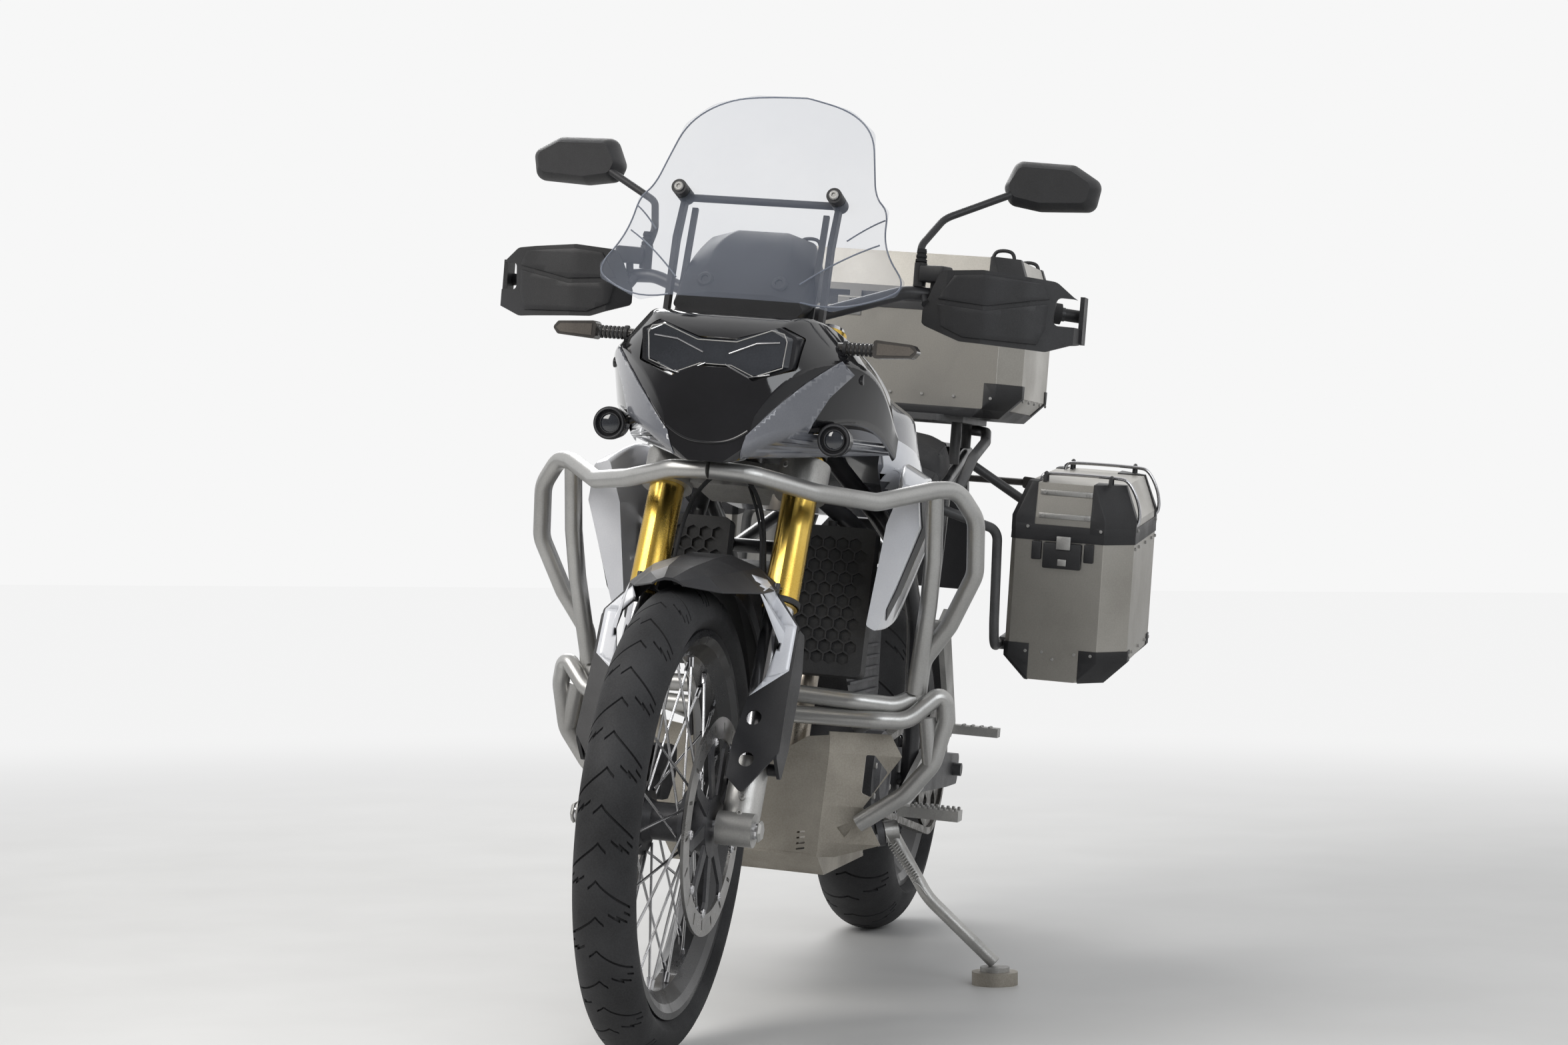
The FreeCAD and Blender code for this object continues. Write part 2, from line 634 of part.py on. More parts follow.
def build_front_fender():
    """Arched hood over the tyre, a strip behind the fork, and a shield in front of each fork leg."""
    stations = [(872, 24, 696, 707), (812, 66, 688, 722), (716, 102, 688, 735), (634, 112, 694, 739)]
    hood = new_body("fender_hood")
    loft(hood, "YZ_Plane", [(x, hood_section(half, edge, crest)) for x, half, edge, crest in stations], ruled=True)
    room = new_body("fender_hood_room")
    loft(room, "YZ_Plane", [(x, hood_section(half, edge, crest, size.fender_wall))
                            for x, half, edge, crest in [(876, 22, 696, 706)] + stations[1:-1] + [(630, 112, 694, 739)]],
         ruled=True)
    shell = cut("fender_hood_shell", hood, [room])
    arc = new_body("fender_arc", FRONT_WHEEL)
    inner = size.front_tyre_radius + 22
    half = 58
    ring_section = outline([(-half, inner - 30), (-half - 4, inner - 30), (-half, inner - 2), (-30, inner + 12),
                            (30, inner + 12), (half, inner - 2), (half + 4, inner - 30), (half, inner - 30),
                            (half - 5, inner - 5), (28, inner + 8), (-28, inner + 8), (-half + 5, inner - 5)])
    turn(arc, "Revolution", add_sketch(arc, "YZ_Plane", ring_section))
    sector = new_body("fender_sector", FRONT_WHEEL)
    reach = 520
    front = math.radians(100)
    back = math.radians(163)
    wedge = outline([(0, 0), (reach * math.cos(front), reach * math.sin(front)), (-reach, reach),
                     (reach * math.cos(back), reach * math.sin(back))])
    grow(sector, "Pad", add_sketch(sector, "XZ_Plane", wedge), 400)
    cover = common("fender_cover", arc, sector)
    guard = new_body("fork_guards_upright", FORK)
    face = outline([(75, 369), (82, 392), (93, 384), (151, 311), (153, 190), (155, 114), (109, 45), (82, 70),
                    (83, 126), (93, 192), (113, 222), (126, 284), (121, 313)],
                   [2, 2, 4, 10, 8, 10, 8, 8, 8, 8, 8, 12, 6])
    plate = grow(guard, "Pad", add_sketch(guard, "YZ_Plane", face, size.fork_guard_place), size.fender_wall, both=False)
    holes = []
    for z in (163, 98):
        sketch = circle_sketch(guard, "YZ_Plane", (108, z), 23, size.fork_guard_place - 4)
        holes.append(grow(guard, "Pocket", sketch, 20, both=False, reverse=True))
    edge = size.fork_guard_place + size.fender_wall
    flank = outline([(edge, 306), (edge, 104), (-20, 84), (-36, 140), (-36, 262), (-8, 312)], 8)
    side = grow(guard, "Pad", add_sketch(guard, "XZ_Plane", flank, -150), size.fender_wall + 1)
    mirrored(guard, [plate] + holes + [side])
    stays = []
    for side_sign in (1, -1):
        stays.append(rod("fender_spacer", (680, side_sign * 14, 713), (680, side_sign * 14, 735), 16))
        stays.append(rod("fender_stay", (27, side_sign * 106, 330), (27, side_sign * 106, 377), 10, FORK))
        stays.append(rod("guard_stay", (LEG_X, side_sign * (LEG_Y + 28.2), 100), (LEG_X, side_sign * 150, 100), 18, FORK))
    return fused("front_fender_upright", [shell, cover, guard] + stays)


def build_handlebar():
    grip_start = 296
    bar_line = [(375, -4, 1118), (375, 72, 1118), (352, 205, 1164), (330, grip_start - 30, 1163), (268, 445, 1150)]
    bar = as_feature("bar_half", tube_shape(bar_line, size.bar_dia, 60))
    risers = new_body("risers", FORK)
    top = 893
    foot = size.upper_clamp_high - 6 + size.fit_gap
    column = outline([(-66, foot), (-26, foot), (-30, top), (-63, top)], 3)
    grow(risers, "Pad", add_sketch(risers, "XZ_Plane", column, -45), 30)
    grow(risers, "Pad", add_sketch(risers, "XZ_Plane", column, 45), 30)
    sub_part("handlebar", fused("handlebar_upright", [bar, mirror_of("bar_half_right", bar), risers]))
    end = Vector(268, 445, 1150)
    inward = (Vector(330, 266, 1163) - end).normalize()
    start = end + inward * 6
    stop = end + inward * 132
    solid = rod("grip_solid", start, stop, "grip_dia")
    bore = rod("grip_bore", end - inward * 20, end + inward * 160, size.bar_dia + 2 * size.fit_gap)
    sub_part("grips", both_sides("grips_upright", cut("grip_left", solid, [bore])))
    perch_at = end + inward * 158
    perch = rod("perch", perch_at - inward * 16, perch_at + inward * 16, 36)
    perch_bore = rod("perch_bore", perch_at - inward * 30, perch_at + inward * 30, size.bar_dia + 2 * size.fit_gap)
    lever_line = [(perch_at.x + 14, perch_at.y, perch_at.z), (perch_at.x + 44, perch_at.y + 26, perch_at.z - 4),
                  (perch_at.x + 10, perch_at.y + 90, perch_at.z - 10), (end.x + 58, end.y - 14, end.z - 8)]
    lever = as_feature("lever", tube_shape(lever_line, 10, 30))
    sub_part("levers", both_sides("levers_upright", fused("lever_set", [cut("perch_ring", perch, [perch_bore]),
                                                                        lever])))


def build_handguards():
    plan = new_body("guard_plan")
    outer = [(364, 236), (380, 274), (380, 334), (362, 404), (322, 470), (276, 478)]
    inner = [(276, 473), (318, 465), (357, 401), (375, 334), (375, 276), (359, 240)]
    grow(plan, "Pad", add_sketch(plan, "XY_Plane", outline(outer + inner), 1060), 200, both=False)
    front = new_body("guard_front")
    face = outline([(228, 1118), (262, 1200), (330, 1205), (440, 1196), (484, 1160), (478, 1104), (430, 1086),
                    (300, 1092)], 16)
    grow(front, "Pad", add_sketch(front, "YZ_Plane", face, 200), 260, both=False)
    window = outline([(438, 1128), (442, 1172), (500, 1172), (500, 1128)], 8)
    grow(front, "Pocket", add_sketch(front, "YZ_Plane", window, 200), 260, both=False, reverse=True)
    shell = common("guard_shell", plan, front)
    end = Vector(268, 445, 1150)
    outward = (end - Vector(330, 266, 1163)).normalize()
    mount = rod("guard_mount", end + outward * 0.3, end + outward * 32, 20)
    loop_end = box("guard_loop_end", (256, 472, 1104), (292, 479, 1178))
    stay = rod("guard_stay_inner", (355, 237, 1158), (366.5, 241.5, 1147), 14)
    sub_part("handguards", both_sides("handguards_upright", fused("guard_left", [shell, mount, loop_end, stay])))


def build_mirrors():
    base = rod("mirror_base", (344, 224, 1175.2), (344, 224, 1212), 20)
    stem_line = [(344, 224, 1205), (326, 218, 1240), (262, 240, 1290), (198, 356, 1350)]
    stem = as_feature("mirror_stem", tube_shape(stem_line, 12, 40))
    head = new_body("mirror_head")
    face = outline([(320, 1352), (338, 1394), (430, 1392), (474, 1366), (466, 1322), (380, 1318), (330, 1326)], 16)
    small = outline([(330, 1354), (346, 1384), (428, 1382), (462, 1362), (456, 1332), (382, 1328), (338, 1336)], 12)
    loft(head, "YZ_Plane", [(166, face), (196, face), (216, small)])
    sub_part("mirrors", both_sides("mirrors_upright", fused("mirror_left", [base, stem, head])))


# Frame and running gear

def nose_stay():
    """Tube from the headstock to the headlamp, and the crossbar that carries the nose."""
    spine = rod("nose_spine", (474, 0, 968.6), (590.2, 0, 1027.1), 24)
    bar = rod("nose_crossbar", (568, -196, 1016), (568, 196, 1016), 16)
    return spine, bar


def build_frame():
    neck = new_body("headstock", FORK)
    low = size.lower_clamp_high + size.headstock_gap
    high = size.upper_clamp_low - size.headstock_gap
    grow(neck, "Pad", circle_sketch(neck, "XY_Plane", (STEERING_X, 0), "headstock_dia", low), high - low, both=False)
    main = [
        [(440, 14, 985), (330, 84, 915), (150, 140, 815), (-60, 157, 735), (-190, 158, 620), (-235, 158, 430),
         (-235, 158, 322)],
        [(474, 14, 905), (388, 84, 848), (250, 134, 786), (60, 154, 730), (-60, 157, 735)],
    ]
    rails = tubes("frame_rails", main, size.frame_tube_dia, 90)
    rear = [
        [(-80, 154, 728), (-300, 126, 790), (-620, 112, 872), (-900, 96, 930)],
        [(-230, 156, 470), (-420, 138, 640), (-600, 114, 866)],
    ]
    tail = tubes("rear_rails", rear, size.rear_tube_dia, 90)
    crosses = [
        rod("cross_front", (330, -84, 915), (330, 84, 915), 24),
        rod("cross_seat", (-60, -157, 735), (-60, 157, 735), 24),
        rod("cross_tail", (-620, -112, 872), (-620, 112, 872), 22),
        rod("cross_end", (-890, -97, 928), (-890, 97, 928), 22),
        rod("pivot_tube", (-235, -160, 345), (-235, 160, 345), "pivot_dia"),
    ]
    spine, nose_bar = nose_stay()
    raw = fused("frame_raw", [neck, rails, tail, spine, nose_bar] + crosses)
    bore = rod("headstock_bore", (STEERING_X, 0, size.lower_clamp_low - 40), (STEERING_X, 0, size.upper_clamp_high + 60),
               size.stem_dia + 2 * size.running_gap, FORK)
    return cut("main_frame_upright", raw, [bore]), nose_bar


def build_engine():
    case = new_body("crankcase")
    side = outline([(-190, 400), (-200, 330), (-150, 292), (120, 292), (190, 330), (205, 440), (150, 500),
                    (-120, 500)], 24)
    grow(case, "Pad", add_sketch(case, "XZ_Plane", side), 2 * 74)
    middle = outline([(-76, 480), (-86, 330), (-60, 296), (120, 296), (186, 332), (200, 440), (150, 500)], 20)
    grow(case, "Pad", add_sketch(case, "XZ_Plane", middle), 2 * 142)
    block = outline([(-60, 490), (150, 490), (228, 560), (236, 640), (200, 700), (40, 716), (-40, 640)], 20)
    grow(case, "Pad", add_sketch(case, "XZ_Plane", block), 2 * 128)
    shaft = circle_sketch(case, "XZ_Plane", (-160, 345), 40, -73)
    grow(case, "Pad", shaft, size.chain_place - 73, both=False, reverse=True)
    cog = circle_sketch(case, "XZ_Plane", (-160, 345), "front_sprocket_dia", -size.chain_place)
    grow(case, "Pad", cog, "Sizes.sprocket_thick")
    covers = new_body("engine_covers_upright")
    left = circle_sketch(covers, "XZ_Plane", (60, 375), 150, -(142 + size.fit_gap))
    grow(covers, "Pad", left, 26, both=False, reverse=True)
    right = circle_sketch(covers, "XZ_Plane", (10, 372), 180, 142 + size.fit_gap)
    grow(covers, "Pad", right, 28, both=False)
    cap = outline([(20, 640), (228, 600), (240, 640), (204, 706), (50, 722)], 10)
    grow(covers, "Pad", add_sketch(covers, "XZ_Plane", cap, 128 + size.fit_gap), 14, both=False)
    grow(covers, "Pad", add_sketch(covers, "XZ_Plane", cap, -(128 + size.fit_gap)), 14, both=False, reverse=True)
    return case, covers


def build_exhaust(case):
    routes = []
    for offset in (-84, 0, 84):
        routes.append([(224, offset, 602), (292, offset, 560), (300, offset * 0.9, 420), (262, offset * 0.6, 284),
                       (150, offset * 0.5 - 12, 268), (100, offset * 0.5 - 12, 268)])
    headers = [tube_shape(route, 36, 60) for route in routes]
    collector = Part.makeBox(76, 130, 43, Vector(52, -77, 246.5))
    collector = collector.makeFillet(12, [edge for edge in collector.Edges if abs(edge.tangentAt(0).x) > 0.5])
    start = Vector(-440, -174, 478)
    direction = Vector(-370, 0, 112).normalize()
    throat = start - direction * 45
    link = tube_shape([(70, -20, 266), (-60, -40, 266), (-160, -112, 264), (-250, -160, 268), (-334, -170, 352),
                       tuple(throat - direction * 20), tuple(throat)], 44, 80)
    can = Part.makeCylinder(50, 350, start, direction)
    cone = Part.makeCone(26, 50, 46, throat, direction)
    tip = Part.makeCylinder(22, 40, start + direction * 340, direction)
    pipes = as_feature("exhaust_pipes", weld(headers + [collector, link, can, cone, tip]))
    return cut("exhaust_upright", pipes, [case])


def build_swingarm():
    body = new_body("swingarm_upright")
    axle_x, axle_z = REAR_AXLE.x, REAR_AXLE.z
    side = outline([(-206, 372), (-200, 330), (-235, 312), (axle_x + 60, axle_z - 30), (axle_x - 50, axle_z - 32),
                    (axle_x - 58, axle_z + 26), (axle_x + 70, axle_z + 34), (-330, 392)], 14)
    middle = size.swingarm_inner + size.swingarm_thick / 2
    arm = grow(body, "Pad", add_sketch(body, "XZ_Plane", side, -middle), "Sizes.swingarm_thick")
    mirrored(body, [arm])
    bridge = outline([(-296, 302), (-296, 366), (-344, 366), (-344, 302)], 8)
    grow(body, "Pad", add_sketch(body, "XZ_Plane", bridge), 2 * size.swingarm_inner + 8)
    pivot = circle_sketch(body, "XZ_Plane", (-235, 345), 46)
    grow(body, "Pad", pivot, 2 * size.swingarm_inner + 8)
    bore = circle_sketch(body, "XZ_Plane", (-235, 345), size.pivot_dia + 2 * size.fit_gap)
    grow(body, "Pocket", bore, 400)
    return body


def chain_loop(name):
    """One closed band round both sprockets."""
    front = Vector(-160, 345, 0)
    rear = Vector(REAR_AXLE.x, REAR_AXLE.z, 0)
    front_radius = size.front_sprocket_dia / 2 + size.fit_gap
    rear_radius = size.rear_sprocket_dia / 2 + 1.5

    def loop(extra):
        big = rear_radius + extra
        small = front_radius + extra
        line = front - rear
        tilt = math.atan2(line.y, line.x)
        lean = math.acos((big - small) / line.Length)
        edges = []
        points = []
        for sign in (1, -1):
            angle = tilt + sign * lean
            away = Vector(math.cos(angle), math.sin(angle), 0)
            points.append((rear + away * big, front + away * small))
        back = rear - Vector(math.cos(tilt), math.sin(tilt), 0) * big
        ahead = front + Vector(math.cos(tilt), math.sin(tilt), 0) * small
        edges.append(Part.LineSegment(points[0][0], points[0][1]))
        edges.append(Part.Arc(points[0][1], ahead, points[1][1]))
        edges.append(Part.LineSegment(points[1][1], points[1][0]))
        edges.append(Part.Arc(points[1][0], back, points[0][0]))
        return edges

    body = new_body(name)
    grow(body, "Pad", add_sketch(body, "XZ_Plane", loop(size.chain_deep), -size.chain_place), "Sizes.chain_wide")
    grow(body, "Pocket", add_sketch(body, "XZ_Plane", loop(0), -size.chain_place), 60)
    return body


# Bodywork

def section(points, radius):
    """A closed section, symmetric about the middle plane, from its left half's (y, z) points."""
    full = points + [(-y, z) for y, z in reversed(points)]
    radii = radius if isinstance(radius, list) else [radius] * len(points)
    return outline(full, radii + list(reversed(radii)))


def build_tank():
    body = new_body("tank_solid")
    sections = [
        (352, section([(96, 862), (128, 900), (118, 958), (66, 982)], 14)),
        (250, section([(150, 812), (196, 880), (178, 968), (92, 1018)], 22)),
        (110, section([(168, 790), (206, 870), (186, 972), (96, 1032)], 26)),
        (-30, section([(150, 790), (176, 856), (152, 940), (84, 996)], 26)),
        (-128, section([(104, 802), (118, 840), (102, 888), (62, 912)], 18)),
    ]
    loft(body, "YZ_Plane", sections)
    tunnel = new_body("tank_tunnel")
    side = outline([(420, 800), (420, 975), (330, 962), (150, 872), (-70, 800), (-200, 790), (-200, 700), (420, 700)])
    grow(tunnel, "Pad", add_sketch(tunnel, "XZ_Plane", side), 2 * 108)
    flare = outline([(420, 700), (420, 915), (300, 915), (150, 860), (-60, 798), (-200, 788), (-200, 700)])
    grow(tunnel, "Pad", add_sketch(tunnel, "XZ_Plane", flare), 2 * 172)
    mount = rod("tank_mount", (330, 0, 927.3), (330, 0, 976), 30)
    return fused("tank_upright", [cut("tank_shell", body, [tunnel]), mount])


def build_side_panels(tank):
    body = new_body("side_panel_left")
    sections = [
        (412, outline([(196, 640), (214, 632), (268, 800), (262, 858), (238, 866), (216, 800)], 6)),
        (300, outline([(196, 650), (220, 646), (268, 790), (258, 876), (214, 900), (210, 800)], 6)),
        (150, outline([(180, 700), (206, 696), (238, 790), (232, 858), (212, 868), (206, 790)], 6)),
        (20, outline([(176, 742), (188, 738), (204, 790), (200, 832), (190, 836), (188, 790)], 4)),
    ]
    loft(body, "YZ_Plane", sections)
    post = cut("panel_post_seated", rod("panel_post", (110, 180, 846), (110, 214, 838), 20), [tank])
    return both_sides("side_panels_upright", fused("side_panel_with_post", [body, post]))


def fork_sweep():
    """The room that the fork and its clamps need from one steering stop to the other."""
    boss = max(size.lower_clamp_boss, size.upper_clamp_boss)
    room = math.hypot(LEG_Y, size.clamp_offset) + boss / 2 + size.moving_gap
    low = size.lower_clamp_low - 60
    high = size.outer_tube_high + 8 + size.moving_gap
    return rod("fork_sweep", (STEERING_X, 0, low), (STEERING_X, 0, high), 2 * room, FORK)


def build_nose(nose_bar):
    outer = new_body("nose_outer")
    sections = [
        (722, section([(26, 876), (60, 902), (70, 948), (50, 992)], 10)),
        (664, section([(74, 888), (136, 936), (146, 1030), (108, 1094)], 14)),
        (560, section([(120, 902), (188, 950), (200, 1030), (150, 1086)], 16)),
        (470, section([(150, 900), (208, 936), (214, 990), (190, 1040)], 16)),
        (372, section([(176, 888), (214, 900), (216, 936), (196, 970)], 10)),
    ]
    loft(outer, "YZ_Plane", sections)
    inner = new_body("nose_inner")
    wall = 5
    sections = [
        (700, section([(30, 850), (56, 906), (62, 948), (46, 978)], 6)),
        (660, section([(62, 850), (136 - wall, 940), (146 - wall, 1028), (104, 1086)], 10)),
        (560, section([(110, 850), (188 - wall, 952), (200 - wall, 1028), (146, 1079)], 12)),
        (470, section([(140, 850), (208 - wall, 932), (214 - wall, 988), (186, 1034)], 12)),
        (360, section([(168, 840), (214 - wall, 894), (216 - wall, 936), (190, 990)], 8)),
    ]
    loft(inner, "YZ_Plane", sections)
    window = new_body("lamp_window")
    grow(window, "Pad", add_sketch(window, "YZ_Plane", lamp_outline(-1), 590), 200, both=False)
    return cut("nose_shell", outer, [inner, window, fork_sweep(), nose_bar]), outer


def lamp_outline(shrink):
    """The twin-pod headlamp seen from the front; shrink draws it in all round."""
    points = [(-94, 1082), (-28, 1060), (28, 1060), (94, 1082), (123, 1068), (119, 1020),
              (62, 999), (26, 1016), (-26, 1016), (-62, 999), (-119, 1020), (-123, 1068)]
    middle = 1040
    factor = 1 - shrink / 60
    return outline([(y * factor, middle + (z - middle) * factor) for y, z in points], 5)


def build_lamps(nose_solid):
    """Headlamp housing with its lens set into it, and the two round fog lamps."""
    housing = new_body("headlamp_upright")
    loft(housing, "YZ_Plane", [(596, lamp_outline(14)), (668, lamp_outline(0)), (694, lamp_outline(2))])
    lens = new_body("headlamp_lens_upright")
    loft(lens, "YZ_Plane", [(694 + size.fit_gap, lamp_outline(5)), (704, lamp_outline(9))])
    fog = new_body("fog_lamp_left", Placement(Vector(600, 174, 922), Rotation()))
    profile = [(-14, 0), (-14, 12), (8, 22), (34, 25), (44, 25), (44, 21), (38, 19), (38, 0)]
    turn(fog, "Revolution", add_sketch(fog, "XY_Plane", outline(profile)), "X_Axis")
    stub = cut("fog_stub_seated", rod("fog_stub", (604, 168, 924), (604, 110, 950), 16), [nose_solid])
    fogs = both_sides("fog_lamps_upright", fused("fog_lamp_with_stub", [fog, stub]))
    return housing, lens, fogs


def build_screen():
    """Clear windscreen: a curved sheet, cut to the outline seen from the front."""
    wall = 4
    sheet_body = new_body("screen_sheet")

    def band(nose_x, half, depth):
        outer = [Vector(nose_x - depth, -half, 0), Vector(nose_x, 0, 0), Vector(nose_x - depth, half, 0)]
        inner = [Vector(nose_x - depth - wall, half - 1, 0), Vector(nose_x - wall, 0, 0),
                 Vector(nose_x - depth - wall, -half + 1, 0)]
        return [Part.Arc(*outer), Part.LineSegment(outer[2], inner[0]), Part.Arc(*inner),
                Part.LineSegment(inner[2], outer[0])]

    loft(sheet_body, "XY_Plane", [(1104, band(652, 262, 96)), (1260, band(560, 262, 98)),
                                  (1456, band(418, 220, 84))])
    face = new_body("screen_face")
    half = [(100, 1122), (150, 1112), (232, 1144), (241, 1167), (214, 1200), (201, 1234), (198, 1278), (176, 1296),
            (152, 1402), (112, 1436), (44, 1452)]
    radii = [20, 14, 10, 8, 16, 24, 10, 12, 20, 60, 60]
    grow(face, "Pad", add_sketch(face, "YZ_Plane", section(half, radii), 240), 500, both=False)
    pins = [rod("screen_bolt", (480, sign * 122, 1278), (560, sign * 122, 1296), 9) for sign in (1, -1)]
    return cut("windscreen_upright", common("screen_blank", sheet_body, face), pins)


def build_screen_bracket(screen, nose_solid):
    arm = new_body("bracket_arm")
    side = outline([(556, 1082), (572, 1082), (544, 1216), (502, 1292), (484, 1292), (524, 1210)], 4)
    grow(arm, "Pad", add_sketch(arm, "XZ_Plane", side, -122), 8)
    arm_pair = mirror_of("bracket_arm_right", arm)
    bar = rod("bracket_bar", (494, -122, 1280), (494, 122, 1280), 12)
    knobs = []
    for side_sign in (1, -1):
        knobs.append(rod("bracket_knob", (490, side_sign * 122, 1280.25), (544, side_sign * 122, 1292.4), 24))
    return cut("screen_bracket_upright", fused("bracket_frame", [arm, arm_pair, bar] + knobs),
               [screen, nose_solid])


def build_dash():
    """Instrument cowl behind the windscreen, with the display facing the rider."""
    body = new_body("dash_cowl")
    loft(body, "YZ_Plane", [(476, section([(86, 1118), (104, 1170), (84, 1222), (40, 1236)], 12)),
                            (540, section([(92, 1094), (110, 1130), (98, 1176), (60, 1196)], 14)),
                            (600, section([(88, 1098), (102, 1110), (94, 1124), (50, 1132)], 5))])
    return cut("dash_upright", body, [fork_sweep()])


def build_signals(nose_solid):
    """Front turn signals on their stalks, and the rear pair on the tail."""
    front = new_body("signal_front")
    lens = outline([(216, 1048), (276, 1052), (284, 1062), (276, 1072), (216, 1076)], 5)
    grow(front, "Pad", add_sketch(front, "YZ_Plane", lens, 584), 30, both=False)
    stalk = cut("signal_stalk_seated", rod("signal_stalk", (598, 120, 1060), (598, 222, 1061), 16), [nose_solid])
    rear = new_body("signal_rear")
    lens = outline([(196, 868), (246, 872), (252, 880), (246, 888), (196, 892)], 5)
    grow(rear, "Pad", add_sketch(rear, "YZ_Plane", lens, -1010), 26, both=False)
    rear_stalk = rod("signal_rear_stalk", (-997, 75.5, 880), (-997, 202, 880), 14)
    left = doc.addObject("Part::Compound", "signals_left")
    left.Links = [fused("signal_front_set", [front, stalk]), fused("signal_rear_set", [rear, rear_stalk])]
    return both_sides("turn_signals_upright", left)


def build_seats():
    rider = new_body("rider_seat_upright")
    loft(rider, "YZ_Plane", [
        (-136, section([(70, 850), (92, 866), (84, 896), (40, 908)], 12)),
        (-220, section([(104, 826), (128, 840), (120, 868), (60, 878)], 14)),
        (-340, section([(136, 813), (158, 842), (150, 870), (80, 880)], 16)),
        (-396, section([(136, 827.4), (152, 852), (146, 896), (80, 908)], 14)),
    ], ruled=True)
    rear = new_body("pillion_seat_upright")
    loft(rear, "YZ_Plane", [
        (-402, section([(132, 829), (148, 866), (140, 920), (76, 936)], 14)),
        (-480, section([(130, 849), (146, 892), (136, 944), (70, 954)], 14)),
        (-560, section([(124, 869.4), (132, 904), (116, 948), (60, 956)], 14)),
    ], ruled=True)
    pair = doc.addObject("Part::Compound", "seats_upright")
    pair.Links = [rider, rear]
    return pair


def case_plan(length, width, chamfer, front, middle_y, side, inset_x, inset_y):
    """Outline of a case seen from above, with chamfered corners; side picks which corners get the big ones."""
    rear = front - length + inset_x
    lead = front - inset_x
    left = middle_y + width / 2 - inset_y
    right = middle_y - width / 2 + inset_y
    left_cut = chamfer if side >= 0 else 8
    right_cut = chamfer if side <= 0 else 8
    return outline([(lead, right + right_cut), (lead, left - left_cut), (lead - left_cut, left),
                    (rear + left_cut, left), (rear, left - left_cut), (rear, right + right_cut),
                    (rear + right_cut, right), (lead - right_cut, right)], 3)


def case_form(name, plan, levels):
    """A closed form through the levels (height, inset along, inset across)."""
    body = new_body(name)
    loft(body, "XY_Plane", [(z, case_plan(*plan, inset_x, inset_y)) for z, inset_x, inset_y in levels], ruled=True)
    return body


def hinge_leaves(name, axis_x, axis_z, middle_y, span, outwards, frame, lid):
    """Two hinge leaves with their round knuckles; the case's and the lid's share the axis side by side."""
    pieces = []
    leaf = size.hinge_leaf
    for place in (-span, span):
        start = middle_y + place + (size.fit_gap if lid else -leaf)
        stop = start + leaf - (size.fit_gap if lid else 0)
        knuckle = rod(name + "_knuckle", (axis_x, start, axis_z), (axis_x, stop, axis_z), "hinge_dia", frame)
        low, high = (axis_z + 1.2, axis_z + 14) if lid else (axis_z - 14, axis_z - 1.2)
        outer = axis_x + outwards * size.hinge_dia / 2
        inner = axis_x - outwards * (size.hinge_place + 1.5)
        plate = box(name + "_leaf", (min(outer, inner), start, low), (max(outer, inner), stop, high), frame)
        pieces += [knuckle, plate]
    return pieces


def build_case(name, plan, low, high):
    """The box, hollow and open at the top, its bottom edges chamfered along both sides."""
    wall = size.case_wall
    drop = size.case_edge
    solid = case_form(name + "_outside", plan, [(low, 0, drop), (low + drop, 0, 0), (high, 0, 0)])
    room = case_form(name + "_inside", plan, [(low + wall, wall, drop + wall * 0.4), (low + drop + wall * 0.4, wall, wall),
                                              (high + 10, wall, wall)])
    return solid, room


def build_lid(name, plan, low, high):
    """The lid, hollow and open at the bottom, its top drawn in."""
    wall = size.case_wall
    lip = low + size.lid_lip
    taper = size.lid_taper
    solid = case_form(name + "_outside", plan, [(low, 0, 0), (lip, 0, 0), (high, taper / 2, taper)])
    room = case_form(name + "_inside", plan, [(low - 10, wall, wall), (lip, wall, wall),
                                              (high - wall, wall + taper / 2 - 1, wall + taper - 1)])
    return solid, room


